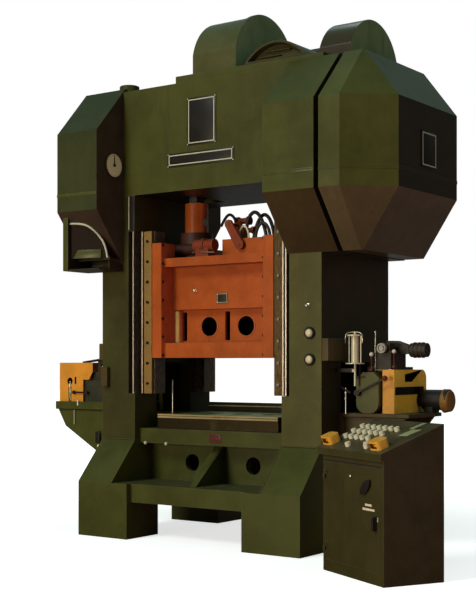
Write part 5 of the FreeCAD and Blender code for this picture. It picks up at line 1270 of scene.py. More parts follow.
@dataclass(frozen=True)
class Plate(Part):
    """A bare data plate: a dark field inside a thin pale border, with a rivet in each corner."""

    line: Finish
    across: Flat
    height: Flat
    face: float
    side: Side = Side.FRONT
    riveted: bool = True
    thick: float = 0.006
    border: float = 0.009
    inset: float = 1.6
    sunk: float = 0.001
    proud: float = 0.002
    corner: float = 0.008

    def at(self, along: float, out: float, up: float) -> Point:
        """A point from its distance along the face, out of it and up."""
        return (along, self.face - out, up) if self.side is Side.FRONT else (self.face + out, along, up)

    def span(self, along: Flat, out: Flat, up: Flat) -> Span:
        """The lowest and the highest corner of a block on the face.

        Args:
            along: where it starts and ends along the face.
            out: where it starts and ends out of the face.
            up: its lower and upper ends.

        Returns:
            The two corners.
        """
        ends = [self.at(*corner) for corner in zip(along, out, up)]
        return tuple(map(min, *ends)), tuple(map(max, *ends))

    def make(self, body: Rider, place: Optional[Matrix] = None) -> bpy.types.Object:
        """Makes the plate, its border and its rivets.

        Args:
            body: the body that they ride on.
            place: not used, as a plate lies on the press.

        Returns:
            The plate.
        """
        low, high = self.span(self.across, (0.0, self.thick), self.height)
        plate = Block(self.name, self.finish, low, high).make(body)
        gap, rim = self.border * self.inset, self.border
        (left, right), (bottom, top) = ((low_end + gap, high_end - gap)
                                        for low_end, high_end in (self.across, self.height))
        between = (bottom + rim, top - rim)
        out = (self.thick - self.sunk, self.thick + self.proud)
        bands = (((left, right), (bottom, bottom + rim)), ((left, right), (top - rim, top)),
                 ((left, left + rim), between), ((right - rim, right), between))
        spans = tuple(self.span(along, out, up) for along, up in bands)
        Blocks(self.name + "_border", self.line, spans).make(body)
        if self.riveted:
            corners = tuple(self.at(along, self.thick, up)
                            for along in (self.across[0] + self.corner, self.across[1] - self.corner)
                            for up in (self.height[0] + self.corner, self.height[1] - self.corner))
            Heads(self.name + "_rivets", self.line, 0.004, 0.003, corners, 12, self.side.value).make(body)
        return plate


# ------------------------------------------------------------------ the studio


@dataclass(frozen=True)
class Lamp:
    """A soft square area lamp."""

    name: str
    place: Point
    aim: Point
    size: float
    power: float
    tint: Colour

    def hang(self) -> None:
        """Hangs the lamp so that it faces its aim."""
        data = bpy.data.lights.new(self.name, "AREA")
        data.shape = "SQUARE"
        data.size = self.size
        data.energy = self.power
        data.color = self.tint
        holder = linked(self.name, data)
        holder.location = self.place
        holder.rotation_euler = (Vector(self.aim) - Vector(self.place)).to_track_quat("-Z", "Y").to_euler()


@dataclass
class Studio:
    """The floor, the lamps, the room round them and the camera."""

    eye: Point = (5.9355, -8.419, 1.425)
    turn: float = 35.4
    lens: float = 73.68
    shift: float = 0.1067
    reach: float = 100.0
    floor_half: float = 40.0
    floor_pale: Flat = (1.6, 4.5)
    floor_glow: Flat = (0.70, 0.30)
    floor_plain: Colour = (0.80, 0.80, 0.80)
    floor_unseen: Colour = (0.80, 0.36, 0.33)
    floor_in_gloss: Colour = (0.10, 0.07, 0.05)
    floor_mirrored: float = 0.08
    floor_behind: Flat = (-0.5, 1.5)
    room_mirrored: float = 0.16
    low_room: Colour = (0.075, 0.060, 0.050)
    high_room: Colour = (0.13, 0.24, 0.21)
    room_rise: Flat = (-0.1, 0.9)
    backdrop: Flat = (0.75, 0.93)
    lamps: Tuple[Lamp, ...] = (
        Lamp("key", (-4.0, -15.0, 13.5), (0.0, 0.0, 2.0), 5.0, 1300.0, (0.97, 1.0, 0.98)),
        Lamp("fill", (12.0, -3.0, 3.0), (0.0, 0.0, 2.0), 5.0, 100.0, (1.0, 0.64, 0.70)),
        Lamp("back", (-3.0, 6.0, 14.0), (0.0, 0.0, 2.0), 4.0, 150.0, (0.84, 1.0, 0.94)),
        Lamp("low", (-2.5, -14.0, 1.6), (0.0, 0.0, 1.4), 4.0, 800.0, (1.0, 0.88, 0.66)))

    def build(self) -> None:
        """Sets up the stage."""
        self.floor()
        for lamp in self.lamps:
            lamp.hang()
        self.world()
        self.camera()

    def ahead(self) -> Point:
        """The level direction in which the camera looks."""
        turn = math.radians(self.turn)
        return (-math.sin(turn), math.cos(turn), 0.0)

    def seen(self, graph: Graph, mirrored: Signal) -> Signal:
        """How far a ray sees the white: the camera's and those through glass do, a mirrored one in part.

        Args:
            graph: the graph that gets the nodes.
            mirrored: the share that a mirrored ray sees.

        Returns:
            The share between 0 and 1.
        """
        camera, glossy, through = (graph.signal("ShaderNodeLightPath", {}, {}, key) for key in (
            "Is Camera Ray", "Is Glossy Ray", "Is Transmission Ray"))
        return graph.signal("ShaderNodeClamp", {}, {0: camera + through + glossy * mirrored})

    def floor(self) -> None:
        """Lays a floor that looks white away from the press and keeps the press's shadow near it."""
        graph = Graph("pale_floor")
        place = graph.place()
        far = graph.signal("ShaderNodeVectorMath", {"operation": "LENGTH"}, {0: place}, "Value")
        behind = graph.dot(place, self.ahead())
        white = self.seen(graph, behind.ramp(*self.floor_behind) * self.floor_mirrored)
        glossy = graph.signal("ShaderNodeLightPath", {}, {}, "Is Glossy Ray")
        near, more = self.floor_glow
        plain, unseen, deep = (graph.signal("ShaderNodeBsdfDiffuse", {}, {"Color": (*colour, 1.0)})
                               for colour in (self.floor_plain, self.floor_unseen, self.floor_in_gloss))
        glow = graph.signal("ShaderNodeEmission", {},
                            {"Color": WHITE, "Strength": far.ramp(*self.floor_pale) * more + near})
        lit = graph.signal("ShaderNodeAddShader", {}, {0: plain, 1: glow})
        hidden = graph.signal("ShaderNodeMixShader", {}, {0: glossy, 1: unseen, 2: deep})
        graph.end(graph.signal("ShaderNodeMixShader", {}, {0: white, 1: hidden, 2: lit}))
        half = self.floor_half
        data = bpy.data.meshes.new("floor")
        data.from_pydata([(-half, -half, 0), (half, -half, 0), (half, half, 0), (-half, half, 0)], [],
                         [(0, 1, 2, 3)])
        data.materials.append(graph.material)
        linked("floor", data)

    def world(self) -> None:
        """Sets a white backdrop behind the press and a dim, cool room round it."""
        world = bpy.data.worlds.new("studio")
        bpy.context.scene.world = world
        world.use_nodes = True
        graph = Graph.of_world(world)
        way = graph.signal("ShaderNodeTexCoord", {}, {}, "Generated")
        white = self.seen(graph, graph.dot(way, self.ahead()).ramp(*self.backdrop) * self.room_mirrored)
        room = graph.mix(graph.along(way, "Z").ramp(*self.room_rise), self.low_room, self.high_room)
        backdrop, dim = (graph.signal("ShaderNodeBackground", {}, {"Color": colour, "Strength": 1.0})
                         for colour in (WHITE, room))
        graph.end(graph.signal("ShaderNodeMixShader", {}, {0: white, 1: dim, 2: backdrop}))

    def camera(self) -> None:
        """Sets the camera at the photograph's viewing angle."""
        data = bpy.data.cameras.new("camera")
        data.lens = self.lens
        data.shift_y = self.shift
        data.clip_end = self.reach
        holder = linked("camera", data)
        holder.location = self.eye
        holder.rotation_euler = (math.radians(90), 0.0, math.radians(self.turn))
        bpy.context.scene.camera = holder
        bpy.context.scene.view_settings.view_transform = "Standard"


# ------------------------------------------------------------------ sub-assemblies


@dataclass
class PressFrame:
    """The bed, uprights and crown with their welds and plates."""

    skins: Tuple[Part, ...] = (
        Skin("bed", GREEN, 0.010), Skin("left_upright", GREEN_LEFT, 0.010),
        Skin("right_upright", GREEN_RIGHT, 0.010), Skin("crown", GREEN, 0.010),
        Skin("tie_rod_nuts", GREEN, 0.008))
    weld_runs: Tuple[Span, ...] = (
        ((0.736, 0.531, 0.782), (0.736, 0.822, 0.456)),
        ((0.036, 0.343, 0.740), (0.036, 0.693, 0.456)),
        ((0.740, 0.528, 0.792), (1.092, 0.528, 0.792)))
    weld_radius: float = 0.006
    weld_pitch: float = 1.1
    fittings: Tuple[Part, ...] = (
        Plate("crown_square_plate", BLACK, PALE_LINE, (-0.180, 0.112), (3.197, 3.582), -0.525),
        Plate("crown_long_plate", BLACK, PALE_LINE, (-0.382, 0.288), (3.035, 3.148), -0.525),
        Plate("bed_plate", PLATE_RED, BLACK, (-0.006, 0.112), (0.792, 0.860), -0.460),
        Plate("cover_side_plate", BLACK, PALE_LINE, (-0.246, 0.001), (2.885, 3.160), 1.785, Side.RIGHT,
              riveted=False),
        Heads("bed_rail_bolts", PALE_LINE, 0.010, 0.008,
              ((-0.676, -0.4605, 0.764), (-0.454, -0.4605, 0.764)), 12))

    def build(self) -> None:
        """Rounds the frame's edges and adds its welds, plates and bolts."""
        make_all(self.skins, Rider.FRAME)
        self.welds()
        make_all(self.fittings, Rider.FRAME)

    def welds(self) -> None:
        """Lays weld beads where the bed's plates and ribs meet, alike on both sides and both ends."""
        tree = Patterns.get(Kind.WELD, GREEN)
        sizes = {"Bead Radius": self.weld_radius, "Ripple Pitch": self.weld_radius * self.weld_pitch}
        runs = [[(side * x, end * y, z) for x, y, z in run]
                for side in (-1, 1) for end in (-1, 1) for run in self.weld_runs]
        for number, run in enumerate(runs, 1):
            tree.apply("bed_weld_%d" % number, path(run, False), sizes, Rider.FRAME, ROUND_SMOOTH)


@dataclass(frozen=True)
class Seam:
    """The lip where a cover's lower part laps its upper part."""

    cover: str
    across: Flat
    front: float


@dataclass
class WheelCovers:
    """The folded covers at both ends of the crown, the hoods on it and the dial."""

    skins: Tuple[Part, ...] = (
        Skin("left_cover", COVER_LEFT, 0.016, 3), Skin("right_inner_cover", GREEN_COVER, 0.016, 3),
        Skin("right_outer_cover", COVER_OUTER, 0.016, 3), Skin("motor_hood", HOOD_GREEN, 0.012, 3),
        Skin("belt_hood", HOOD_BROWN, 0.012, 3), Skin("arched_cowl", HOOD_COWL, 0.012, 3),
        # The brake guard takes the near-black enamel as painted shade of its open, shaded inside.
        Skin("brake_guard", GREEN_DARK, 0.006))
    guard: Tuple[Part, ...] = (
        # Painted highlight: a pale tube along the guard's curved rim stands in for the light that catches
        # that edge.
        Rod("guard_air_pipe", PALE_LINE, 0.009, (
            (-1.215, -0.802, 2.606), (-1.120, -0.798, 2.604), (-1.020, -0.782, 2.580),
            (-0.952, -0.718, 2.494), (-0.898, -0.705, 2.400), (-0.884, -0.702, 2.312)), True),
        Block("guard_edge", GREEN_COVER, (-1.2650, -0.8350, 2.209), (-1.2080, -0.8270, 2.655)),
        # Painted shadow: a near-black sheet closes the guard's back where its inside is in shade.
        Slab("guard_back", GUARD_SHADOW, (
            (-1.205, -0.795, 2.312), (-0.892, -0.700, 2.312), (-0.906, -0.704, 2.400),
            (-0.958, -0.720, 2.485), (-1.028, -0.741, 2.566), (-1.120, -0.769, 2.592),
            (-1.205, -0.795, 2.594)), (0, 0.030, 0)),
        Slab("guard_ledge", GREEN_COVER, (
            (-1.180, -0.800, 2.311), (-0.935, -0.726, 2.311), (-0.935, -0.726, 2.383),
            (-1.140, -0.788, 2.383)), (0, 0.008, 0), 0.002),
        # A black strip down the left upright's front beside the gib.
        Block("gib_seat_strip", BLACK, (-0.792, -0.530, 2.545), (-0.737, -0.490, 2.836), 0.001),
        # Painted highlight: a pale rod down the left upright's edge beside the gib.
        Rod("gib_seat_edge", PALE_LINE, 0.0045, ((-0.797, -0.529, 2.552), (-0.797, -0.529, 2.832))))
    seams: Tuple[Seam, ...] = (
        Seam("left", (-1.304, -0.859), -0.865), Seam("right_inner", (0.794, 1.244), -0.877))
    seam_height: float = 2.850
    seam_screws: int = 4
    lip: float = 0.026
    lip_proud: float = 0.003
    lip_sunk: float = 0.004
    screw: Flat = (0.006, 0.004)
    outer_seam: Tuple[Flat, ...] = (
        (1.284, -0.880), (1.461, -0.880), (1.788, -0.597), (1.788, 0.367), (1.461, 0.650), (1.284, 0.650))
    outer_fold: Tuple[Flat, ...] = (
        (1.284, -0.873), (1.458, -0.873), (1.781, -0.593), (1.781, 0.363), (1.458, 0.643), (1.284, 0.643))
    bezel: Tuple[Flat, ...] = (
        (0.0, 0.003), (0.014, 0.003), (0.0165, 0.001), (0.0165, -0.003), (0.0142, -0.004), (0.0, -0.004))
    marks: int = 24
    mark_length: float = 0.009
    mark_width: float = 0.002
    mark_inset: float = 0.014
    mark_lift: float = 0.0004

    def build(self) -> None:
        """Rounds the folds and adds the brake guard's inside with its painted shadow and highlight, the
        strips by the left gib, the seams and the dial's trim.
        """
        make_all(self.skins, Rider.FRAME)
        make_all(self.guard, Rider.FRAME)
        low = self.seam_height - self.lip
        for seam in self.seams:
            self.straight_seam(seam, low)
        self.folded_seam(low)
        self.dial()

    def straight_seam(self, seam: Seam, low: float) -> None:
        """Makes one cover's lip with its screws.

        Args:
            seam: the lip's place.
            low: the lip's lower edge.
        """
        left, right = seam.across
        face, back = seam.front - self.lip_proud, seam.front + self.lip_sunk
        Block(seam.cover + "_cover_lip", GREEN_COVER, (left, face, low), (right, back, self.seam_height),
              0.0015).make(Rider.FRAME)
        pitch = (right - left) / self.seam_screws
        places = tuple((left + pitch * (number + 0.5), face, low + self.lip / 2)
                       for number in range(self.seam_screws))
        Heads(seam.cover + "_cover_screws", GREEN_COVER, *self.screw, places).make(Rider.FRAME)

    def folded_seam(self, low: float) -> None:
        """Makes the outer cover's lip, which follows its folds.

        Args:
            low: the lip's lower edge.
        """
        band = Form()
        for outside, inside in zip(zip(self.outer_seam, self.outer_seam[1:]),
                                   zip(self.outer_fold[1:], self.outer_fold)):
            corners = [(x, y, low) for x, y in (*outside, *inside)]
            band.prism(corners, (0, 0, self.lip), 0.001, 1)
        band.piece("outer_cover_lip", GREEN_COVER, Rider.FRAME)

    def dial(self) -> None:
        """Adds the crank angle dial's bezel and marks."""
        low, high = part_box("crank_dial")
        middle = (low + high) / 2
        radius = (high.y - low.y) / 2
        rim = tuple((out, radius + past) for out, past in self.bezel)
        place = (low.x, middle.y, middle.z)
        Turning("dial_bezel", GREEN_DARK, rim, (place,), RIGHTWARD, 40).make(Rider.FRAME)
        sizes = {"Ring Radius": radius - self.mark_inset, "Mark Count": self.marks,
                 "Mark Length": self.mark_length, "Mark Width": self.mark_width}
        tree = Patterns.get(Kind.TICKS, BLACK)
        marks = tree.apply("dial_marks", point_cloud(((0, 0, 0),), RIGHTWARD), sizes, Rider.FRAME)
        marks.data.transform(Matrix.Translation((high.x + self.mark_lift, middle.y, middle.z))
                             @ Matrix.Rotation(math.pi / 2, 4, "Y"))


@dataclass
class SlideGear:
    """The slide with its trim, and the valves and hoses on top of it."""

    panel: float = -0.289
    web: float = -0.214
    skins: Tuple[Part, ...] = (
        Skin("slide", ORANGE, 0.007), Skin("link_arms", RED_BROWN, 0.004),
        Skin("adjusting_housings", HOUSING_CAST, 0.005), Skin("adjusting_motor", RED_BROWN, 0.005))
    knob: Tuple[Flat, ...] = (
        (0.0, 0.014), (0.004, 0.014), (0.006, 0.007), (0.016, 0.007), (0.018, 0.011), (0.026, 0.011),
        (0.029, 0.006), (0.029, 0.0))
    web_corner: Point = (-0.500, -0.246, 1.607)
    web_edge: Tuple[Flat, ...] = ((0.0, 0.0), (0.0, 0.024), (0.262, 0.024), (0.262, 0.0))
    panel_half: float = 0.508
    panel_foot: float = 1.882
    panel_edge: Tuple[Flat, ...] = ((0.0, 0.0), (0.0, 0.009), (0.350, 0.009), (0.350, 0.0))
    hole_across: float = 0.187
    hole_height: float = 1.737
    hole_rim: Tuple[Flat, ...] = (
        (0.0, 0.080), (0.0, 0.092), (0.004, 0.091), (0.005, 0.083), (0.003, 0.080), (0.0, 0.080))
    valves: Tuple[Tuple[float, float, float], ...] = ((2.600, 0.036, 0.055), (2.520, 0.030, 0.100))
    valve_depth: float = -0.165
    valve_neck: float = 0.7
    valve_ends: Flat = (0.0, 0.140)
    valve_flanges: Flat = (0.030, 0.114)
    valve_waist: Flat = (0.034, 0.110)
    hoses: Tuple[Part, ...] = (
        Rod("slide_pipe_1", BRIGHT_STEEL, 0.007, (
            (-0.30, -0.30, 2.352), (-0.24, -0.34, 2.36), (-0.10, -0.42, 2.34), (0.02, -0.43, 2.33)), True),
        Rod("slide_hose_1", BLACK_RUBBER, 0.015, (
            (0.158, -0.19, 2.42), (0.168, -0.19, 2.489), (0.180, -0.19, 2.578), (0.210, -0.19, 2.645),
            (0.257, -0.19, 2.668), (0.306, -0.19, 2.633), (0.346, -0.19, 2.549), (0.375, -0.19, 2.445),
            (0.380, -0.19, 2.31)), True),
        Rod("slide_hose_2", BLACK_RUBBER, 0.015, (
            (0.210, -0.15, 2.40), (0.218, -0.15, 2.461), (0.240, -0.15, 2.545), (0.280, -0.15, 2.620),
            (0.326, -0.15, 2.648), (0.375, -0.15, 2.608), (0.408, -0.15, 2.525), (0.424, -0.15, 2.433),
            (0.428, -0.15, 2.31)), True),
        Rod("slide_hose_3", BLACK_RUBBER, 0.013, (
            (0.282, -0.23, 2.31), (0.287, -0.23, 2.449), (0.306, -0.23, 2.525), (0.346, -0.23, 2.568),
            (0.395, -0.23, 2.555), (0.436, -0.23, 2.480), (0.445, -0.23, 2.31)), True),
        Rod("slide_hose_4", CREAM, 0.008, (
            (0.132, -0.24, 2.44), (0.140, -0.24, 2.510), (0.178, -0.24, 2.560), (0.215, -0.24, 2.530),
            (0.235, -0.24, 2.452), (0.238, -0.24, 2.31)), True),
        Rod("slide_hose_5", BLACK_RUBBER, 0.012, (
            (0.08, -0.21, 2.60), (0.02, -0.17, 2.66), (-0.08, -0.12, 2.67), (-0.15, -0.10, 2.58)), True))

    def build(self) -> None:
        """Dresses the slide."""
        make_all(self.skins, Rider.SLIDE)
        make_all(self.panel_fittings(), Rider.SLIDE)
        make_all(self.trim(), Rider.SLIDE)
        make_all(self.valve_bodies(), Rider.SLIDE)
        make_all(self.hoses, Rider.SLIDE)

    def panel_fittings(self) -> List[Part]:
        """The bare plate and the knob on the slide's panel.

        Returns:
            The two parts.
        """
        return [Plate("slide_plate", GREEN_DARK, PALE_LINE, (-0.056, 0.058), (1.923, 2.008), self.panel,
                      thick=0.004, border=0.004),
                Turning("slide_knob", BRIGHT_STEEL, self.knob, ((-0.276, self.panel, 2.033),))]

    def trim(self) -> List[Part]:
        """The half-round edges of the web and the panel, and the rims round the two holes; the web's corner
        edge carries a painted highlight.

        Returns:
            The edges and rims.
        """
        parts: List[Part] = [
            # Painted highlight: the web's corner half-round is painted pale orange.
            Turning("web_corner_edge", HIGHLIGHT_ORANGE, self.web_edge, (self.web_corner,), UPWARD)]
        for label, side in (("left", -1), ("right", 1)):
            edge = (side * self.panel_half, self.panel - 0.001, self.panel_foot)
            hole = (side * self.hole_across, self.web, self.hole_height)
            parts.append(Turning("panel_edge_" + label, ORANGE, self.panel_edge, (edge,), UPWARD, 16))
            parts.append(Turning("slide_hole_rim_" + label, ORANGE, self.hole_rim, (hole,), FORWARD, 40))
        return parts

    def valve_bodies(self) -> List[Part]:
        """The flanged valves, each from its height, its radius and where it starts.

        Returns:
            The valves.
        """
        parts: List[Part] = []
        (near, far), (first, second), (after, before) = self.valve_ends, self.valve_flanges, self.valve_waist
        for height, radius, start in self.valves:
            neck = radius * self.valve_neck
            profile = ((near, 0.0), (near, radius), (first, radius), (after, neck), (before, neck),
                       (second, radius), (far, radius), (far, 0.0))
            name = "slide_valve_%d" % round(height * 1000)
            place = (start, self.valve_depth, height)
            parts.append(Turning(name, RED_BROWN, profile, (place,), RIGHTWARD, 28))
        return parts


@dataclass
class DieSpace:
    """The bolster with its rail and rod, and the gibs with their keepers."""

    parts: Tuple[Part, ...] = (
        Skin("bolster", BOLSTER_STEEL, 0.003),
        Block("bolster_edge_upper", WORN_EDGE, (-0.606, -0.3835, 0.993), (0.606, -0.3805, 1.0062), 0.001, 1),
        Block("bolster_edge_lower", WORN_EDGE, (-0.606, -0.3835, 0.974), (0.606, -0.3805, 0.989), 0.001, 1),
        Block("rear_rail", GREEN_DARK, (-0.640, 0.386, 0.990), (0.640, 0.402, 1.088), 0.003),
        Block("rear_rail_strip", PALE_GREEN, (-0.640, 0.380, 1.052), (0.640, 0.387, 1.060), 0.001),
        Rod("die_space_rod", BRIGHT_STEEL, 0.005, ((-0.600, -0.187, 1.004), (-0.600, -0.187, 1.290))),
        Skin("gib_keepers", KEEPER_STEEL, 0.002),
        Skin("gibs", GIB_STEEL, 0.002))

    def build(self) -> None:
        """Dresses the guides and the bolster."""
        make_all(self.parts, Rider.FRAME)


@dataclass
class RollFeed:
    """The roll feed on the right upright."""

    skins: Tuple[Part, ...] = (
        Skin("feed_gear_case", GREEN_LIGHT, 0.012, 3), Skin("feed_guard", AMBER_FEED, 0.005),
        Skin("feed_head", HEAD_CAST, 0.006), Skin("feed_motor", BLACK_CAST, 0.004),
        Skin("feed_table", BROWN, 0.005))
    fittings: Tuple[Part, ...] = (
        Rod("oiler_wire", BRIGHT_STEEL, 0.0045, (
            (1.182, -0.320, 1.585), (1.182, -0.320, 1.650), (1.215, -0.320, 1.668), (1.300, -0.320, 1.668),
            (1.332, -0.320, 1.650), (1.332, -0.320, 1.585)), True),
        Block("oiler_arm_cover", BLACK_CAST, (1.098, -0.332, 1.3625), (1.246, -0.308, 1.3915)),
        Rod("feed_thin_rod", BRIGHT_STEEL, 0.005, ((1.368, -0.185, 1.360), (1.368, -0.185, 1.676))),
        Rod("feed_valve_stem", BRIGHT_STEEL, 0.006, ((1.175, -0.300, 1.045), (1.175, -0.300, 1.240))),
        Rod("feed_valve_bar", BLACK, 0.010, ((1.128, -0.300, 1.250), (1.216, -0.300, 1.205))))
    slot: Span = ((1.243, -0.003, 1.317), (1.330, 0.002, 1.334))
    lining: Span = ((1.498, -0.212, 1.060), (1.506, 0.268, 1.362))
    cap: Tuple[Tuple[float, float, float], ...] = (
        (-0.062, 0.0, 0.0), (-0.062, 0.93, 0.0), (-0.056, 1.0, 0.001), (-0.006, 0.9, 0.0),
        (0.0, 0.8, 0.0), (0.0, 0.0, 0.0))
    cap_gap: float = 0.0004
    release_knob: float = 0.0165
    release_knob_inset: float = 0.015
    hand_knob: float = 0.021
    hand_knob_inset: float = 0.019

    def build(self) -> None:
        """Dresses the feed."""
        make_all(self.skins, Rider.FRAME)
        self.knobs()
        make_all(self.fittings, Rider.FRAME)
        self.case_and_motor()

    def case_and_motor(self) -> None:
        """Adds the gear case's slot, the guard's lining and the motor's cap, which follows its radius."""
        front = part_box("feed_gear_case")[0].y
        low, high = ((x, front + y, z) for x, y, z in self.slot)
        Block("gear_case_slot", BLACK, low, high, 0.001, 1).make(Rider.FRAME)
        Block("guard_lining", BLACK_CAST, *self.lining, 0.001, 1).make(Rider.FRAME)
        low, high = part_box("feed_motor")
        middle = (low + high) / 2
        radius = (high.z - low.z) / 2
        cap = tuple((out, radius * share + past) for out, share, past in self.cap)
        place = (high.x + self.cap_gap, middle.y, middle.z)
        Turning("feed_motor_cap", CAP_BROWN, cap, (place,), RIGHTWARD, 40).make(Rider.FRAME)

    def knobs(self) -> None:
        """Puts white balls on the two release levers and a red one on the hand lever."""
        for node, body in (("front_release_lever", Rider.FRONT_LEVER),
                           ("rear_release_lever", Rider.REAR_LEVER)):
            low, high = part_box(node)
            centre = ((low.x + high.x) / 2, (low.y + high.y) / 2, high.z - self.release_knob_inset)
            self.ball(node + "_knob", centre, self.release_knob, WHITE_KNOB, body)
        low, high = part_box("feed_lever")
        inset = self.hand_knob_inset
        centre = (high.x - inset, low.y + inset, high.z - inset)
        self.ball("feed_lever_knob", centre, self.hand_knob, PLATE_RED, Rider.FEED_LEVER)

    @staticmethod
    def ball(name: str, centre: Point, radius: float, finish: Finish, body: Rider, steps: int = 12) -> None:
        """Makes one ball knob.

        Args:
            name: the knob's name.
            centre: its centre.
            radius: its radius.
            finish: its finish.
            body: the body that it rides on.
            steps: flats from its lowest to its highest point.
        """
        angles = [math.pi * step / steps for step in range(steps + 1)]
        profile = [(-radius * math.cos(angle), radius * math.sin(angle)) for angle in angles]
        Form().turned(profile, centre, UPWARD, 2 * steps).piece(name, finish, body, (), ROUND_SMOOTH)


@dataclass
class SideGear:
    """The boxes and lamps on the uprights, and the scrap cutter on the left."""

    front: float = -0.525
    skins: Tuple[Part, ...] = (
        Skin("left_shelf", GREEN, 0.006), Skin("left_guard", AMBER, 0.003),
        Skin("scrap_cutter", CUTTER_CAST, 0.006), Skin("junction_boxes", BROWN, 0.006))
    lamp_across: float = 0.994
    lamp_heights: Flat = (1.459, 1.660)
    lamp_bezel: Tuple[Flat, ...] = (
        (0.0, 0.046), (0.014, 0.046), (0.020, 0.040), (0.020, 0.032), (0.012, 0.031), (0.0, 0.031))
    lamp_lens: Tuple[Flat, ...] = ((0.0, 0.031), (0.016, 0.031), (0.024, 0.026), (0.029, 0.016), (0.030, 0.0))
    knob_place: Flat = (0.976, 1.867)
    knob: Tuple[Flat, ...] = (
        (0.0, 0.020), (0.006, 0.020), (0.010, 0.012), (0.022, 0.012), (0.026, 0.008), (0.026, 0.0))
    cutter: Tuple[Part, ...] = (
        Block("cutter_switch_box", PLATE_RED, (-1.317, -0.302, 1.267), (-1.235, -0.252, 1.399), 0.004),
        Heads("cutter_buttons", WHITE_KNOB, 0.015, 0.012,
              ((-1.337, -0.236, 1.402), (-1.264, -0.303, 1.339)), 20),
        Blocks("cutter_marks", PALE_LINE, (
            ((-1.298, -0.286, 1.217), (-1.274, -0.276, 1.231)),
            ((-1.252, -0.286, 1.189), (-1.228, -0.276, 1.203)),
            ((-1.280, -0.286, 1.153), (-1.256, -0.276, 1.167))), 0.0015),
        Block("cutter_rear_box", CUTTER_CAST, (-1.300, 0.245, 1.088), (-1.130, 0.318, 1.205), 0.004),
        Block("shelf_socket", BLACK, (-1.355, -0.331, 0.729), (-1.308, -0.323, 0.833)),
        Heads("shelf_button", WHITE_KNOB, 0.011, 0.008, ((-1.322, -0.325, 0.705),), 16),
        Rod("cutter_rod", BRIGHT_STEEL, 0.005, ((-1.685, -0.299, 1.098), (-1.685, -0.299, 1.272))),
        Rod("shelf_pin", WHITE_KNOB, 0.008, ((-1.569, -0.324, 1.056), (-1.569, -0.324, 1.106))),
        Rod("shelf_strip", PALE_LINE, 0.004, ((-1.614, -0.322, 0.888), (-1.614, -0.322, 1.013))),
        Rod("cutter_arm", BLACK, 0.011, ((-1.559, -0.262, 1.438), (-1.330, -0.262, 1.466))))

    def build(self) -> None:
        """Dresses both sides."""
        make_all(self.skins, Rider.FRAME)
        self.lamps()
        make_all(self.cutter, Rider.FRAME)

    def lamps(self) -> None:
        """Makes the two lamps of the right upright, and the small knob above them."""
        places = tuple((self.lamp_across, self.front, height) for height in self.lamp_heights)
        Turning("lamp_bezels", BLACK, self.lamp_bezel, places, FORWARD, 36).make(Rider.FRAME)
        lenses = Turning("lamp_lenses", CREAM, self.lamp_lens, places, FORWARD, 36).make(Rider.FRAME)
        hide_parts("upright_lamps")
        place = (self.knob_place[0], self.front, self.knob_place[1])
        Turning("upright_knob", BRIGHT_STEEL, self.knob, (place,), FORWARD, 24).make(Rider.FRAME)


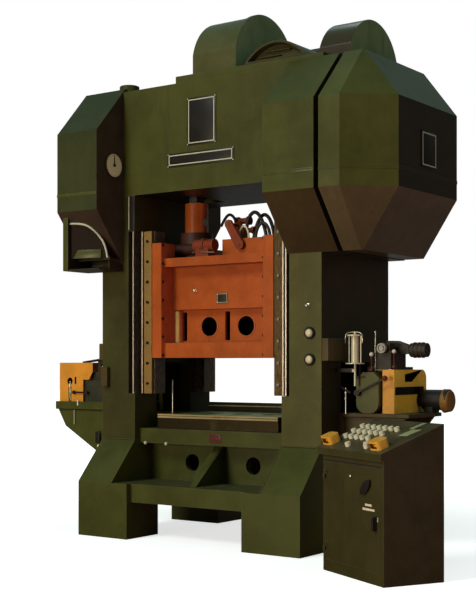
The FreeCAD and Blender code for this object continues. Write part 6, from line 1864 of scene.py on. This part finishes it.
@dataclass
class ControlDesk:
    """The control desk, in its own axes: X along its front, Y to its back."""

    corner: Flat = (2.166, -1.514)
    turn: float = -29.0
    top_depths: Flat = (-0.024, 0.463)
    top_heights: Flat = (0.850, 1.034)
    skins: Tuple[Tuple[Part, Rider], ...] = (
        (Skin("desk_cabinet", GREEN_DESK, 0.006), Rider.FRAME),
        (Skin("desk_door", GREEN_DESK, 0.003), Rider.DOOR),
        (Skin("palm_guards", AMBER_PALM, 0.004), Rider.FRAME))
    lock: Turning = Turning("door_lock", BRIGHT_STEEL, (
        (0.0, 0.011), (0.008, 0.011), (0.010, 0.008), (0.010, 0.0)), ((-0.405, -0.002, 0.678),))
    knob_centre: Flat = (-0.207, 0.623)
    knob_halves: Flat = (0.072, 0.034)
    knob_turn: float = 40.0
    knob_steps: int = 28
    knob_face: float = -0.002
    knob_thick: float = 0.018
    strips: Blocks = Blocks("door_strips", WHITE_KNOB, (
        ((-0.221, -0.0045, 0.501), (-0.141, -0.001, 0.516)),
        ((-0.252, -0.0045, 0.472), (-0.105, -0.001, 0.487)),
        ((-0.100, -0.0045, 0.412), (-0.064, -0.001, 0.424)),
        ((-0.076, -0.0045, 0.424), (-0.064, -0.001, 0.440))))
    gap: Block = Block("door_gap", BLACK, (-0.770, -0.0015, 0.7595), (-0.012, 0.002, 0.772), 0.0006, 1)
    plate_thick: float = 0.004
    key_plates: Tuple[Tuple[Flat, ...], ...] = (
        ((-0.202, 0.244), (-0.114, 0.250), (-0.096, 0.352), (-0.186, 0.340)),
        ((-0.236, 0.352), (-0.196, 0.356), (-0.180, 0.450), (-0.224, 0.446)))

    def place(self) -> Matrix:
        """Where the desk's own axes lie."""
        return Matrix.Translation((*self.corner, 0)) @ Matrix.Rotation(math.radians(self.turn), 4, "Z")

    def build(self) -> None:
        """Dresses the desk and adds what is fixed to its door and its cabinet."""
        for skin, body in self.skins:
            skin.make(body)
        on_door = (self.lock, self.knob(), self.strips)
        on_cabinet = (self.gap, *self.plates())
        for parts, body in ((on_door, Rider.DOOR), (on_cabinet, Rider.FRAME)):
            for part in parts:
                part.make(body, self.place())

    def plates(self) -> List[Slab]:
        """The bare plates beside the keys, which lie on the sloping top."""
        sweep = (0, 0, self.plate_thick)
        return [Slab("desk_plate_%d" % number, PALE_GREEN, tuple((x, y, self.top(y)) for x, y in outline),
                     sweep, 0.0008, 1) for number, outline in enumerate(self.key_plates, 1)]

    def knob(self) -> Slab:
        """The door's oval knob, tipped over to the right.

        Returns:
            The knob.
        """
        turn = Matrix.Rotation(math.radians(self.knob_turn), 2)
        angles = [math.tau * step / self.knob_steps for step in range(self.knob_steps)]
        oval = [Vector(self.knob_centre) + turn @ Vector((self.knob_halves[0] * math.cos(angle),
                                                          self.knob_halves[1] * math.sin(angle)))
                for angle in angles]
        return Slab("door_knob", BLACK, tuple((x, self.knob_face, z) for x, z in oval),
                    (0, -self.knob_thick, 0), 0.004)

    def top(self, depth: float) -> float:
        """The height of the sloping top at a depth in the desk's axes."""
        (front, back), (low, high) = self.top_depths, self.top_heights
        return low + (depth - front) * (high - low) / (back - front)


def make_all(parts: Iterable[Part], body: Rider) -> None:
    """Makes parts in order, all on one body."""
    for part in parts:
        part.make(body)


def dress_nodes() -> None:
    """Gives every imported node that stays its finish."""
    for name, finish in NODE_FINISHES.items():
        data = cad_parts[name].data
        data.materials.clear()
        data.materials.append(finish.material())


def main() -> None:
    """Builds the stage and every sub-assembly."""
    logging.basicConfig(level=logging.INFO, format="%(name)s: %(message)s")
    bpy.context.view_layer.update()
    for assembly in (Studio(), PressFrame(), WheelCovers(), SlideGear(), DieSpace(), RollFeed(), SideGear(),
                     ControlDesk()):
        LOG.info("building %s", type(assembly).__name__)
        assembly.build()
    dress_nodes()


if __name__ == "__main__":
    main()
